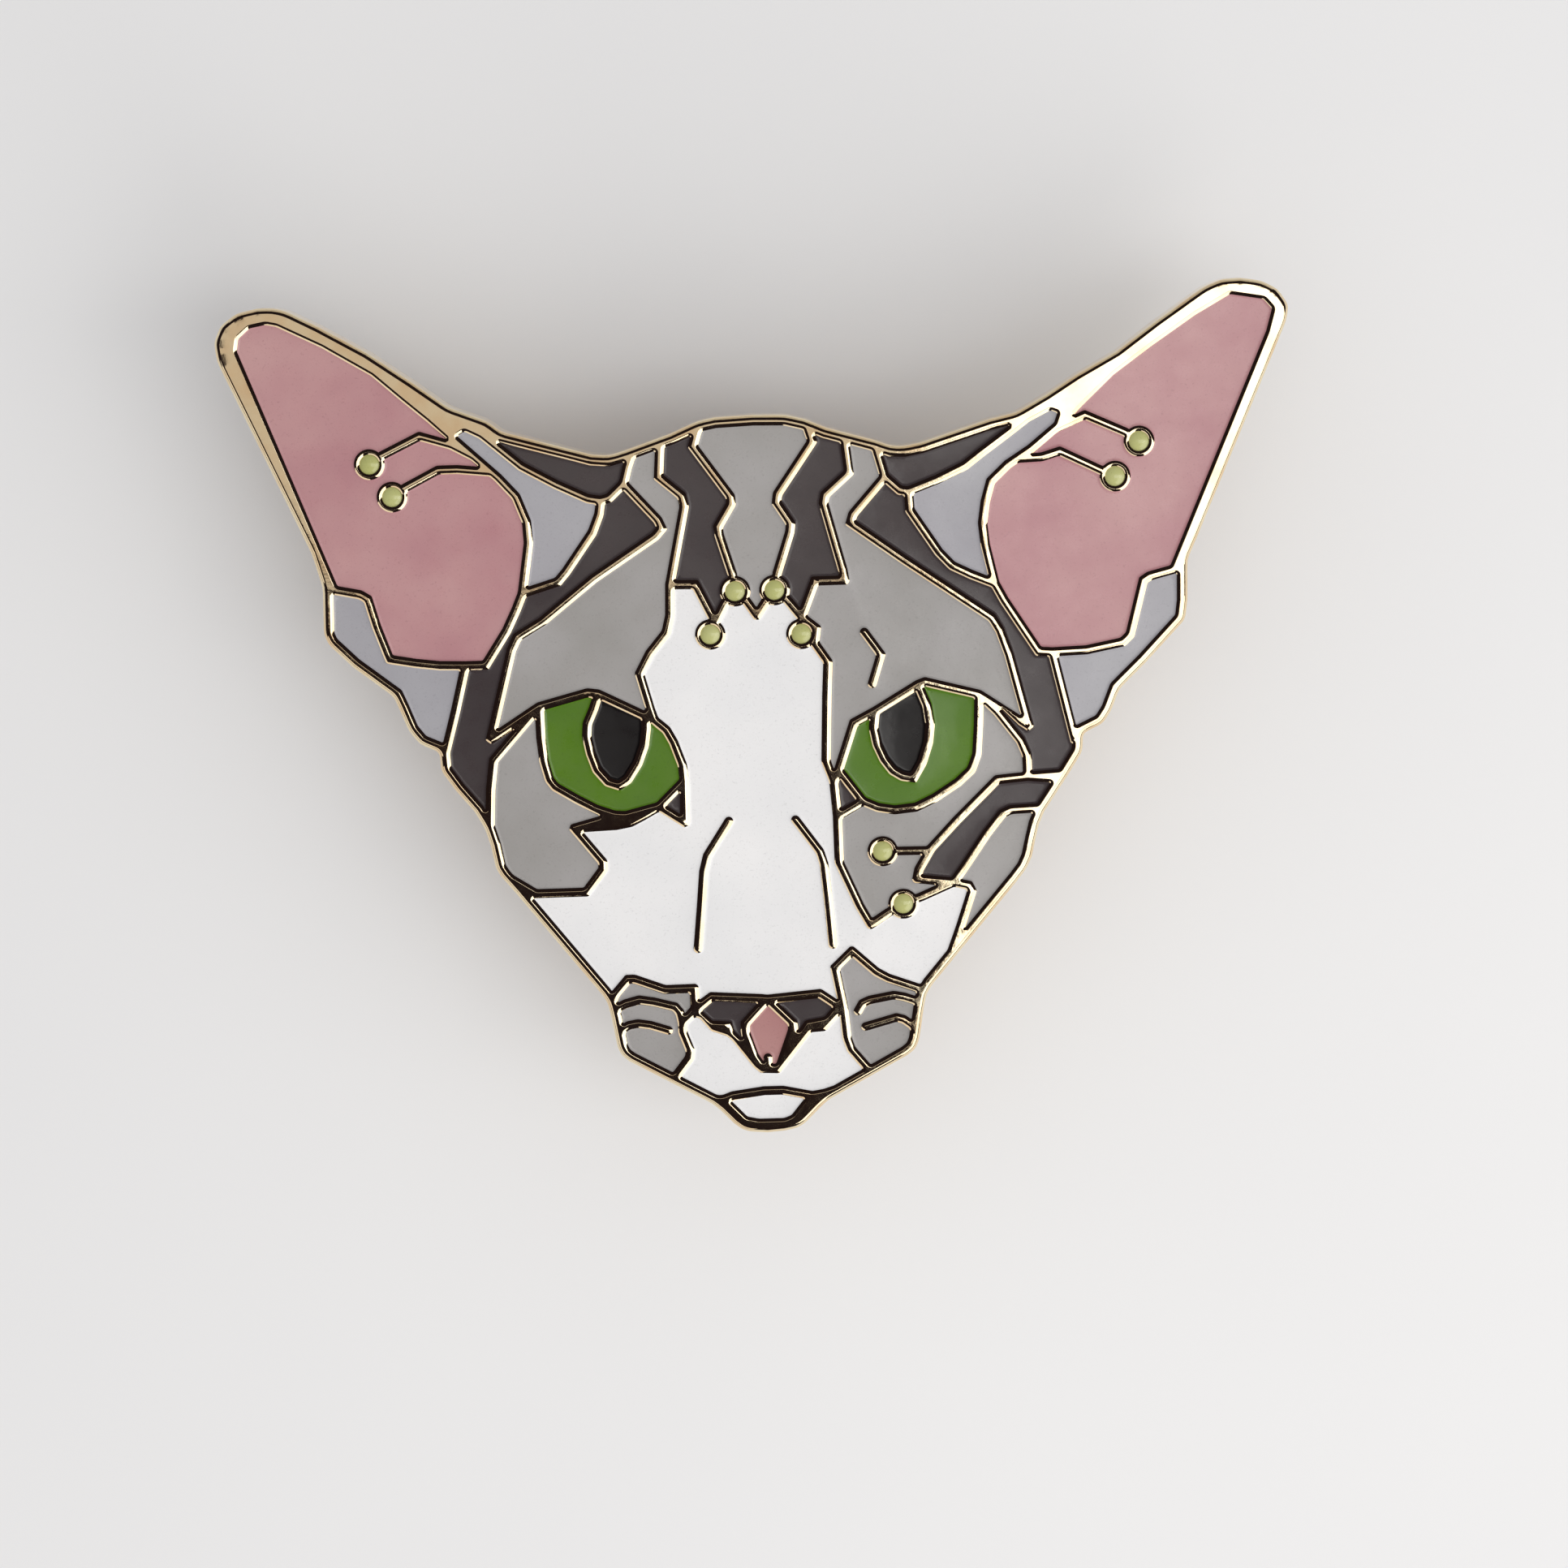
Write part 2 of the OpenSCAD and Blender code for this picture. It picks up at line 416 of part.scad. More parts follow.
// ---- The plate ----
module die() {
    color(gold)
        difference() {
            union() {
                difference() {
                    slab(outline, z_back, z_top);
                    intersection() {
                        union() {
                            for (loop = ALL_LOOPS)
                                slab(inset(loop, ridge_w / 2), z_floor, z_top + 1);
                        }
                        slab(inset(outline, rim_w), z_floor - 1, z_top + 2);
                    }
                }
                for (route = ALL_LINES)
                    ridge(route, z_floor - eps, z_top);
                discs(ALL_DOTS, ring_r, z_floor - eps, z_top);
            }
            discs(ALL_DOTS, dot_r, z_floor, z_top + 1);
        }
}

// ---- Enamel, one module for each colour's area ----
module ear_left() { enamel(pink, l_ear_loop, l_ear_lines, ear_dot_at); }
module ear_right() { enamel(pink, r_ear_loop, r_ear_lines, ear_dot_at); }
module ear_fold_left() { enamel(pale_grey, l_fold_loop); }
module ear_fold_right() { enamel(pale_grey, r_fold_loop); }
module inner_ear_left() { enamel(pale_grey, l_inner_loop); }
module inner_ear_right() { enamel(pale_grey, r_inner_loop); }
module temple_left() { enamel(dark, l_temple_loop); }
module temple_right() { enamel(dark, r_temple_loop); }
module side_stripe_left() { enamel(dark, l_stripe_loop); }
module side_stripe_right() { enamel(dark, r_stripe_loop); }
module forehead_left() { enamel(grey, l_forehead_loop); }
module forehead_right() { enamel(grey, r_forehead_loop, [brow_mark]); }
module brow_stripe_left() { enamel(dark, l_brow_loop, [], forehead_dot_at); }
module brow_stripe_right() { enamel(dark, r_brow_loop, [], forehead_dot_at); }
module crown() { enamel(grey, crown_loop, [], forehead_dot_at); }
module face() { enamel(white, face_loop, face_lines, ALL_DOTS); }
module iris_left() { enamel(green, l_iris_loop); }
module iris_right() { enamel(green, r_iris_loop); }
module pupil_left() { enamel(black, l_pupil_loop); }
module pupil_right() { enamel(black, r_pupil_loop); }
module eye_corner_left() { enamel(dark, l_tear_loop); }
module eye_corner_right() { enamel(dark, r_tear_loop); }
module cheek_left() { enamel(grey, l_cheek_loop); }
module cheek_right() { enamel(grey, r_cheek_loop, [cheek_line], cheek_dot_at); }
module cheek_stripe() { enamel(dark, cheek_stripe_loop); }
module jaw_right() { enamel(grey, jaw_loop); }
module muzzle_band() { enamel(grey, muzzle_band_loop); }
module muzzle_left() { enamel(grey, l_muzzle_loop, [muzzle_left_line]); }
module muzzle_right() { enamel(grey, r_muzzle_loop, muzzle_right_lines); }
module nostril_left() { enamel(dark, l_nostril_loop); }
module nostril_right() { enamel(dark, r_nostril_loop); }
module nose() { enamel(nose_pink, nose_loop, [nose_line]); }
module jowl() { enamel(white, jowl_loop); }
module chin() { enamel(white, chin_loop); }

module dots(places) {
    color(dot_green)
        discs(places, dot_r, z_floor, z_enamel);
}
module ear_dots() { dots(ear_dot_at); }
module forehead_dots() { dots(forehead_dot_at); }
module cheek_dots() { dots(cheek_dot_at); }

// ---- Posts ----
post_x = post_gap / 2;
groove_r = 0.4;
groove_half = 0.2;
nose_h = 1.3;
point_r = 0.1;
step_gap = 0.05;
// Depths below the disc's face
spring_drop = 1.2;
bead_drop = 1.75;

module post(side) {
    groove_z = z_disc - spring_drop;
    step_z = z_disc + step_gap;
    pad_z = z_back - pad_t;
    color(gold)
        translate([side * post_x, post_y, 0]) {
            translate([0, 0, pad_z])
                cylinder(r = pad_r, h = pad_t);
            translate([0, 0, step_z])
                cylinder(r = collar_r, h = pad_z - step_z);
            translate([0, 0, groove_z + groove_half])
                cylinder(r = shank_r, h = step_z - groove_z - groove_half);
            translate([0, 0, groove_z - groove_half])
                cylinder(r = groove_r, h = 2 * groove_half);
            translate([0, 0, point_z + nose_h])
                cylinder(r = shank_r, h = groove_z - groove_half - point_z - nose_h);
            translate([0, 0, point_z])
                cylinder(r1 = point_r, r2 = shank_r, h = nose_h);
        }
}
module left_post() { post(-1); }
module right_post() { post(1); }

// ---- Clutches ----
// Each is drawn around its post's axis with its disc's face at height 0
module at_post(side) {
    translate([side * post_x, post_y, z_disc])
        children();
}

funnel_r = 1.7;
funnel_drop = 0.55;
throat_drop = 0.9;

// Pressed disc with a rolled edge and a funnel that leads the post into its hole
module clutch_disc(side) {
    edge_r = disc_r - roll_r;
    sheet_r = edge_r - roll_r / 3;
    color(gold)
        at_post(side) {
            rotate_extrude($fn = 96)
                polygon([
                    [hole_r, -throat_drop], [hole_r, -funnel_drop], [funnel_r, 0], [sheet_r, 0],
                    [sheet_r, -sheet_t], [funnel_r + 0.15, -sheet_t],
                    [hole_r + sheet_t, -funnel_drop - 0.15], [hole_r + sheet_t, -throat_drop]
                ]);
            rotate_extrude($fn = 96)
                translate([edge_r, -roll_r])
                    circle(r = roll_r, $fn = 32);
        }
}
module left_clutch_disc() { clutch_disc(-1); }
module right_clutch_disc() { clutch_disc(1); }

cap_gap = 0.06;
cap_r = 2.5;
flange_r = 3.3;
cap_shoulder = 2;
cap_drop = 2.6;
cap_end_r = 1.6;
cap_hole_r = 1;
slot_w = 2.4;
slot_in = 1.35;
slot_drop = 0.8;

// Crimped cap that holds the spring and the wings, with a slot for each wing
module clutch_cap(side) {
    top = -sheet_t - cap_gap;
    color(gold)
        at_post(side)
            difference() {
                rotate_extrude($fn = 64)
                    polygon([
                        [cap_r - sheet_t, top], [flange_r, top], [flange_r, top - sheet_t],
                        [cap_r, top - sheet_t], [cap_r, -cap_shoulder], [cap_end_r, -cap_drop],
                        [cap_hole_r, -cap_drop], [cap_hole_r, sheet_t - cap_drop],
                        [cap_end_r - 0.1, sheet_t - cap_drop],
                        [cap_r - sheet_t, -cap_shoulder + 0.05]
                    ]);
                for (way = [-1, 1])
                    translate([-slot_w / 2, way > 0 ? slot_in : -slot_in - 2, -cap_drop - 1])
                        cube([slot_w, 2, cap_drop + 1 - slot_drop]);
            }
}
module left_clutch_cap() { clutch_cap(-1); }
module right_clutch_cap() { clutch_cap(1); }

wire_r = 0.2;
leg_gap = 0.08;
leg_y = shank_r + leg_gap + wire_r;
leg_start = -1.7;
leg_end = 1.05;

// Hairpin spring: two legs beside the post, joined by a round bend
module clutch_spring(side) {
    color(gold)
        at_post(side)
            translate([0, 0, -spring_drop]) {
                for (way = [-1, 1])
                    translate([leg_start, way * leg_y, 0])
                        rotate([0, 90, 0])
                            cylinder(r = wire_r, h = leg_end - leg_start, $fn = 24);
                translate([leg_end, 0, 0])
                    rotate([0, 0, -90])
                        rotate_extrude(angle = 180, $fn = 48)
                            translate([leg_y, 0])
                                circle(r = wire_r, $fn = 24);
            }
}
module left_clutch_spring() { clutch_spring(-1); }
module right_clutch_spring() { clutch_spring(1); }

bead_y = 2.15;
bead_r = 0.4;
bead_w = slot_w - 0.1;
arm_w = 1.8;
neck_w = 2.1;
neck_len = 1.7;
jaw_y = leg_y + wire_r + leg_gap;
wing_len = (clutch_h - bead_drop - sheet_t / 2 * cos(wing_angle)) / sin(wing_angle);

// Wing: a jaw beside the spring, a bead that it turns on, and a rounded finger tab
module wing(side, way) {
    color(gold)
        at_post(side)
            mirror([0, way > 0 ? 0 : 1, 0]) {
                translate([-arm_w / 2, 0, 0])
                    rotate([90, 0, 90])
                        linear_extrude(arm_w)
                            polygon([
                                [jaw_y, -1], [jaw_y + sheet_t, -1], [jaw_y + sheet_t, -1.25],
                                [bead_y, -bead_drop + 0.18], [bead_y, -bead_drop - 0.15],
                                [jaw_y, -1.55]
                            ]);
                translate([-bead_w / 2, bead_y, -bead_drop])
                    rotate([0, 90, 0])
                        cylinder(r = bead_r, h = bead_w, $fn = 32);
                translate([0, bead_y, -bead_drop])
                    rotate([-wing_angle, 0, 0])
                        translate([0, 0, -sheet_t / 2]) {
                            translate([-neck_w / 2, 0, 0])
                                cube([neck_w, neck_len, sheet_t]);
                            translate([-wing_w / 2, neck_len - 0.1, 0])
                                cube([wing_w, wing_len - wing_w / 2 - neck_len + 0.1, sheet_t]);
                            translate([0, wing_len - wing_w / 2, 0])
                                cylinder(r = wing_w / 2, h = sheet_t);
                        }
            }
}
module left_wing_upper() { wing(-1, 1); }
module left_wing_lower() { wing(-1, -1); }
module right_wing_upper() { wing(1, 1); }
module right_wing_lower() { wing(1, -1); }

die();
ear_left();
ear_right();
ear_fold_left();
ear_fold_right();
inner_ear_left();
inner_ear_right();
temple_left();
temple_right();
side_stripe_left();
side_stripe_right();
forehead_left();
forehead_right();
brow_stripe_left();
brow_stripe_right();
crown();
face();
iris_left();
iris_right();
pupil_left();
pupil_right();
eye_corner_left();
eye_corner_right();
cheek_left();
cheek_right();
cheek_stripe();
jaw_right();
muzzle_band();
muzzle_left();
muzzle_right();
nostril_left();
nostril_right();
nose();
jowl();
chin();
ear_dots();
forehead_dots();
cheek_dots();
left_post();
right_post();
left_clutch_disc();
left_clutch_cap();
left_clutch_spring();
left_wing_upper();
left_wing_lower();
right_clutch_disc();
right_clutch_cap();
right_clutch_spring();
right_wing_upper();
right_wing_lower();
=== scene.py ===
"""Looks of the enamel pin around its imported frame: a struck gold-plated plate, poured enamel,
domed dots, soldered posts and two pressed butterfly clutches. Shapes are worked out in
millimetres, in the frame's own axes, and made in metres."""

import json
import math

import bpy
import numpy as np
from mathutils import Euler, Matrix, Vector
from mathutils.geometry import delaunay_2d_cdt


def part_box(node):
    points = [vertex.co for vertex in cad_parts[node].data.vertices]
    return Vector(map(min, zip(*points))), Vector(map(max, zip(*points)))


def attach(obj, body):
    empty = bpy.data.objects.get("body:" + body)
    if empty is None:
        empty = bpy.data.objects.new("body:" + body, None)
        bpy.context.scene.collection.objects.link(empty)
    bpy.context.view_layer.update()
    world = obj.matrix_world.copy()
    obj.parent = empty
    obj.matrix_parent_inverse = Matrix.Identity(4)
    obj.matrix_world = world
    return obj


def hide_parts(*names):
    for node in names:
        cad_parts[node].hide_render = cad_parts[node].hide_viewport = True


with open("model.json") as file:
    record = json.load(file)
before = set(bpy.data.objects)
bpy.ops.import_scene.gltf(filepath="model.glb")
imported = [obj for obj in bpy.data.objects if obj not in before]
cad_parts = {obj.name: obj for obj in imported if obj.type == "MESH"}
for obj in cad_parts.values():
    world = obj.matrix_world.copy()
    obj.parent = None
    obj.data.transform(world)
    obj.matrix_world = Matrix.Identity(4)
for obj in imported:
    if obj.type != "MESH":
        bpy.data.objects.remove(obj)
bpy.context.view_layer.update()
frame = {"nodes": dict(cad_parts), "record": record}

MM = 0.001

# ---- Heights of the plate, from the frame ----
Z_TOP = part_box("die")[1].z / MM
Z_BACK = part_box("die")[0].z / MM
Z_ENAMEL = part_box("face")[1].z / MM
Z_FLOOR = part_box("face")[0].z / MM

# ---- Outlines of the face ----
SPACING = 0.3             # longest side of an edge's polygon
DOT_SPACING = 0.08        # the same around a dot
CORNER_CUT = 0.09         # how far from a corner its rounding starts
OUTLINE_CUT = 0.25        # the same on the plate's outline
CORNER_SIDES = ((0.2, 0), (0.5, 2), (1.3, 4), (4.0, 6))  # turn below, in radians: sides of its arc
POINTS_AT_ONCE = 400      # how many points are compared with the edges together

# ---- Finish of the face ----
RIDGE_SIDE = 0.18         # a ridge's sloping shoulder: width and drop
RIDGE_DROP = 0.09
RIM_SIDE = 0.25           # the same on the outside of the rim
RIM_DROP = 0.2
SHOULDER_EASE = 1.6       # 1 for a straight slope, more for one that steepens outwards
BACK_ROLL = 0.12          # radius of the rounded edge of the plate's back
RECESS = 0.08             # depth of the pebbled field on the back
RECESS_EDGE = (0.75, 0.95)  # the slope down to it, in from the outline
MENISCUS = 0.05           # the enamel climbs the metal by this height
MENISCUS_W = 0.035        # and falls away from it over this width
DOT_RISE = 0.13           # height of a dot's dome above its edge

# ---- Rings of points that shape a surface, at these distances in from its edges ----
METAL_RINGS = (0.03, 0.07, 0.11, 0.145, 0.18, 0.25)
BACK_RINGS = (0.02, 0.06, 0.12, 0.75, 0.82, 0.88, 0.95)
ENAMEL_RINGS = (0.02, 0.05, 0.09, 0.15)
DOT_RINGS = (0.06, 0.14, 0.24, 0.34, 0.42)
EXTRA_GAP = 0.05          # extra points stay this far in from the last ring
CROWDED = 0.94            # a ring's point is dropped below this share of its own distance
JUST_INSIDE = 0.001       # an edge's height and slope are read this far in from it


# ---- Outlines ----
def unit(v):
    """The vectors given, each made one long."""
    return v / np.maximum(np.linalg.norm(v, axis=-1, keepdims=True), 1e-12)


def right_of(v):
    """Level vectors turned a quarter to the right."""
    return np.stack([v[..., 1], -v[..., 0]], -1)


def flat_loops(node, top=True):
    """Boundary loops, in mm, of a node's highest or lowest flat face, with the face on their left."""
    mesh = frame["nodes"][node].data
    co = np.array([v.co for v in mesh.vertices]) / MM
    level = co[:, 2].max() if top else co[:, 2].min()
    on_level = np.abs(co[:, 2] - level) < 0.002
    keys = [tuple(p) for p in np.round(co[:, :2], 3)]
    mesh.calc_loop_triangles()
    edges = set()
    for triangle in mesh.loop_triangles:
        ids = list(triangle.vertices)
        if on_level[ids].all():
            ring = [keys[i] for i in ids]
            edges.update(zip(ring, ring[1:] + ring[:1]))
    follow = {a: b for a, b in sorted(edges) if (b, a) not in edges}
    loops = []
    while follow:
        here = min(follow)
        loop = []
        while here in follow:
            loop.append(here)
            here = follow.pop(here)
        loops.append(clean(np.array(loop)))
    return loops if top else [loop[::-1] for loop in loops]


def clean(loop, gap=0.03, straight=0.008):
    """The loop without points that crowd the one before, or lie on a straight side."""
    kept = [loop[0]]
    for p in loop[1:]:
        if np.linalg.norm(p - kept[-1]) > gap:
            kept.append(p)
    if np.linalg.norm(kept[0] - kept[-1]) < gap:
        kept.pop()
    loop = np.array(kept)
    u = unit(loop - np.roll(loop, 1, 0))
    v = unit(np.roll(loop, -1, 0) - loop)
    turn = np.abs((u * right_of(v)).sum(1))
    return loop[turn > straight]


class Edge:
    """A closed outline with its area on the left, and the level way out of the area at each point."""

    def __init__(self, points, ways):
        self.points, self.ways = points, ways

    def __len__(self):
        return len(self.points)

    def turned_round(self):
        return Edge(self.points[::-1], -self.ways[::-1])


def rounded(loop, cut=CORNER_CUT, spacing=SPACING):
    """An Edge along the loop with its corners rounded, and no side longer than the spacing."""
    points, ways = [], []
    u_all = unit(loop - np.roll(loop, 1, 0))
    v_all = unit(np.roll(loop, -1, 0) - loop)
    for i, p in enumerate(loop):
        u, v = u_all[i], v_all[i]
        bend = abs(math.atan2(u[0] * v[1] - u[1] * v[0], float(u @ v)))
        steps = next(count for limit, count in CORNER_SIDES if bend < limit)
        if steps == 0:
            points.append(p)
            ways.append(right_of(u + v))
            continue
        side = min(np.linalg.norm(p - loop[i - 1]), np.linalg.norm(p - loop[(i + 1) % len(loop)]))
        reach = min(cut, 0.42 * side)
        for k in range(steps + 1):
            t = k / steps
            points.append(p - u * reach * (1 - t) ** 2 + v * reach * t * t)
            ways.append(right_of((1 - t) * u + t * v))
    points, ways = np.array(points), unit(np.array(ways))
    full_points, full_ways = [], []
    for i, p in enumerate(points):
        q, way, next_way = points[(i + 1) % len(points)], ways[i], ways[(i + 1) % len(points)]
        parts = max(1, math.ceil(np.linalg.norm(q - p) / spacing))
        for k in range(parts):
            full_points.append(p + (q - p) * k / parts)
            full_ways.append(way + (next_way - way) * k / parts)
    return Edge(np.array(full_points), unit(np.array(full_ways)))


def sides(edges):
    """The two ends of every side of the edges."""
    a = np.vstack([e.points for e in edges])
    b = np.vstack([np.roll(e.points, -1, 0) for e in edges])
    return a, b


def winding(at, edges):
    """How many times the edges run anticlockwise around each point."""
    a, b = sides(edges)
    low, high = np.minimum(a[:, 1], b[:, 1]), np.maximum(a[:, 1], b[:, 1])
    turns = np.zeros(len(at), int)
    order = np.argsort(at[:, 1])
    for k in range(0, len(order), POINTS_AT_ONCE):
        some = order[k:k + POINTS_AT_ONCE]
        p = at[some]
        near = (low <= p[-1, 1]) & (high >= p[0, 1])
        s, e = a[near], b[near]
        x, y = p[:, :1], p[:, 1:]
        left = (e[:, 0] - s[:, 0]) * (y - s[:, 1]) - (x - s[:, 0]) * (e[:, 1] - s[:, 1])
        rises = (s[:, 1] <= y) & (e[:, 1] > y) & (left > 0)
        falls = (s[:, 1] > y) & (e[:, 1] <= y) & (left < 0)
        turns[some] = rises.sum(1) - falls.sum(1)
    return turns


def nearest(at, edges, reach=1.2, cell=1.0):
    """Distance, up to reach, from each point to the edges, and the level way away from them."""
    a, b = sides(edges)
    span = b - a
    length2 = np.maximum((span ** 2).sum(1), 1e-12)
    middle = (a + b) / 2
    distance = np.full(len(at), reach)
    away = np.zeros((len(at), 2))
    cells, which = np.unique(np.floor(at / cell), axis=0, return_inverse=True)
    which = which.ravel()
    order = np.argsort(which, kind="stable")
    starts = np.searchsorted(which[order], np.arange(len(cells) + 1))
    for c, corner in enumerate(cells):
        some = order[starts[c]:starts[c + 1]]
        near = (np.abs(middle - (corner + 0.5) * cell) < reach + cell).all(1)
        if not near.any():
            continue
        p = at[some][:, None]
        t = np.clip(((p - a[near]) * span[near]).sum(2) / length2[near], 0, 1)
        gap = p - (a[near] + t[..., None] * span[near])
        length = np.linalg.norm(gap, axis=2)
        best = length.argmin(1)
        rows = np.arange(len(some))
        close = length[rows, best] < reach
        distance[some[close]] = length[rows, best][close]
        away[some[close]] = unit(gap[rows, best][close])
    return distance, away


# ---- Surfaces: each gives a height and its level slope at the points asked for ----
def roll(distance, width, drop):
    """How far a rounded shoulder lies below its top, and how steeply it climbs with distance."""
    t = np.clip(1 - distance / width, 0, 1)
    flat = np.sqrt(np.maximum(1 - t * t, 1e-4))
    return drop * (1 - np.sqrt(1 - t * t)), drop / width * t / flat


def level(z):
    """A flat at height z."""
    return lambda at: (np.full(len(at), z), np.zeros((len(at), 2)))


def shoulder(edges, z, width, drop):
    """A flat at height z whose border slopes down, more steeply towards the edge."""
    def surface(at):
        distance, away = nearest(at, edges)
        t = np.clip(1 - distance / width, 0, 1)
        slope = SHOULDER_EASE * drop / width * t ** (SHOULDER_EASE - 1)
        return z - drop * t ** SHOULDER_EASE, slope[:, None] * away
    return surface


# ---- Meshes ----
class Builder:
    """Collects points in mm, their normals and faces, and makes one mesh object of them. A face's
    finish is its material's place in the list that make() is given."""

    def __init__(self):
        self.points, self.normals, self.faces, self.finish = [], [], [], []
        self.count = 0

    def add(self, points, normals):
        first = self.count
        self.points.append(np.asarray(points, float))
        self.normals.append(unit(np.asarray(normals, float)))
        self.count += len(points)
        return np.arange(first, self.count)

    def strip(self, low, high, closed=True):
        """Quads between two rings of one length, facing right of the rings' way when low is below."""
        last = len(low) if closed else len(low) - 1
        for i in range(last):
            j = (i + 1) % len(low)
            self.faces.append((low[i], low[j], high[j], high[i]))
            self.finish.append(0)

    def wall(self, edge, low, high):
        ways = np.column_stack([edge.ways, np.zeros(len(edge))])
        rings = []
        for z in (low, high):
            points = np.column_stack([edge.points, np.full(len(edge), z)])
            rings.append(self.add(points, ways))
        self.strip(*rings)

    def blanket(self, edges, rings, surface, up=True, finish=None, extra=None):
        """Covers the area inside the edges with a surface, with points on rings at the given
        distances in from the edges, and at the extra points. The function finish, if there is
        one, tells the faces' finishes from their middles and heights."""
        points = [e.points for e in edges]
        ways = [e.ways for e in edges]
        links, first = [], 0
        for e in edges:
            ids = np.arange(first, first + len(e))
            links.append(np.column_stack([ids, np.roll(ids, -1)]))
            first += len(e)
        for distance in rings:
            for e in edges:
                inner = e.points - e.ways * distance
                ids = np.arange(first, first + len(e))
                links.append(np.column_stack([ids, np.roll(ids, -1)]))
                points.append(inner)
                ways.append(np.zeros((len(e), 2)))
                first += len(e)
        border = sum(len(e) for e in edges)
        wanted = [0.0] * border + [d for d in rings for _ in range(border)]
        if extra is not None:
            points.append(extra)
            ways.append(np.zeros((len(extra), 2)))
            wanted += [rings[-1] + EXTRA_GAP] * len(extra)
        points, ways, links = np.vstack(points), np.vstack(ways), np.vstack(links)
        wanted = np.array(wanted)
        real, _ = nearest(points, edges)
        keep = (real >= CROWDED * wanted) & ((wanted == 0) | (winding(points, edges) > 0))
        keep[:border] = True
        new_id = np.cumsum(keep) - 1
        links = new_id[links[keep[links].all(1)]]
        points, ways = points[keep], ways[keep]
        made, _, triangles, origin, *_ = delaunay_2d_cdt(
            [Vector(p) for p in points.tolist()], links.tolist(), [], 0, 1e-5)
        made = np.array([tuple(p) for p in made])
        triangles = np.array(triangles)
        inside = winding(made[triangles].mean(1), edges) > 0
        way = np.array([ways[source[0]] if source else (0, 0) for source in origin])
        z, slope = surface(made - JUST_INSIDE * way)
        normals = np.column_stack([-slope, np.ones(len(made))]) * (1 if up else -1)
        ids = self.add(np.column_stack([made, z]), normals)
        chosen = ids[triangles[inside]]
        self.faces += [tuple(f) for f in (chosen if up else chosen[:, ::-1]).tolist()]
        if finish:
            self.finish += finish(made[triangles[inside]].mean(1), z[triangles[inside]].mean(1))
        else:
            self.finish += [0] * len(chosen)

    def lathe(self, edge, steps=64):
        """Turns an outline in (radius, height) about the Z axis."""
        angles = np.arange(steps) * 2 * math.pi / steps
        cos, sin = np.cos(angles), np.sin(angles)
        rings = []
        for (r, z), (out, up) in zip(edge.points, edge.ways):
            r = max(r, 0)
            points = np.column_stack([r * cos, r * sin, np.full(steps, z)])
            normals = np.column_stack([out * cos, out * sin, np.full(steps, up)])
            rings.append(self.add(points, normals))
        for low, high in zip(rings, rings[1:] + rings[:1]):
            self.strip(low, high)

    def placed(self, matrix):
        """Moves everything collected so far. A mirroring matrix turns the faces round."""
        turn = np.array(matrix.to_3x3())
        shift = np.array(matrix.translation)
        points, normals = np.vstack(self.points), np.vstack(self.normals)
        self.points, self.normals = [points @ turn.T + shift], [normals @ turn.T]
        if matrix.determinant() < 0:
            self.faces = [f[::-1] for f in self.faces]
        return self

    def join(self, other):
        self.faces += [tuple(i + self.count for i in f) for f in other.faces]
        self.finish += other.finish
        self.add(np.vstack(other.points), np.vstack(other.normals))

    def make(self, name, materials, body, nodes, slot):
        points, normals = np.vstack(self.points), np.vstack(self.normals)
        places = np.round(points, 4)
        _, first, same = np.unique(places, axis=0, return_index=True, return_inverse=True)
        same = same.ravel()
        blended = np.zeros((len(first), 3))
        np.add.at(blended, same, normals)
        faces, finish = [], []
        for face, kind in zip(self.faces, self.finish):
            merged = tuple(dict.fromkeys(same[list(face)].tolist()))
            if len(merged) > 2:
                faces.append(merged)
                finish.append(kind)
        used = sorted({i for face in faces for i in face})
        new_id = dict(zip(used, range(len(used))))
        mesh = bpy.data.meshes.new(name)
        faces = [tuple(new_id[i] for i in face) for face in faces]
        mesh.from_pydata((points[first][used] * MM).tolist(), [], faces)
        for material in materials:
            mesh.materials.append(material)
        mesh.polygons.foreach_set("material_index", finish)
        mesh.polygons.foreach_set("use_smooth", [True] * len(faces))
        mesh.normals_split_custom_set_from_vertices(unit(blended[used]).tolist())
        piece = bpy.data.objects.new(name, mesh)
        bpy.context.scene.collection.objects.link(piece)
        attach(piece, body)
        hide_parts(*nodes)
        return piece


# ---- Materials ----
def new_material(name):
    material = bpy.data.materials.new(name)
    material.use_nodes = True
    tree = material.node_tree
    return material, tree, tree.nodes["Principled BSDF"]


def node(tree, kind, **inputs):
    made = tree.nodes.new(kind)
    for key, value in inputs.items():
        made.inputs[key.replace("_", " ")].default_value = value
    return made


def linear(code):
    """Linear colour of an sRGB code such as b07c82."""
    parts = [int(code[i:i + 2], 16) / 255 for i in (0, 2, 4)]
    return tuple(c / 12.92 if c <= 0.04045 else ((c + 0.055) / 1.055) ** 2.4 for c in parts)


def noise(tree, size_mm, detail=3.0, roughness=0.5):
    """Noise with features of about this size, in the object's own space."""
    place = tree.nodes.new("ShaderNodeTexCoord")
    made = node(tree, "ShaderNodeTexNoise", Scale=1 / (size_mm * MM), Detail=detail,
                Roughness=roughness)
    tree.links.new(place.outputs["Object"], made.inputs["Vector"])
    return made.outputs["Fac"]


def ranged(tree, value, low, high, start=0.3, end=0.7):
    """The value's range start to end, spread over low to high."""
    made = node(tree, "ShaderNodeMapRange", From_Min=start, From_Max=end, To_Min=low, To_Max=high)
    tree.links.new(value, made.inputs["Value"])
    return made.outputs["Result"]


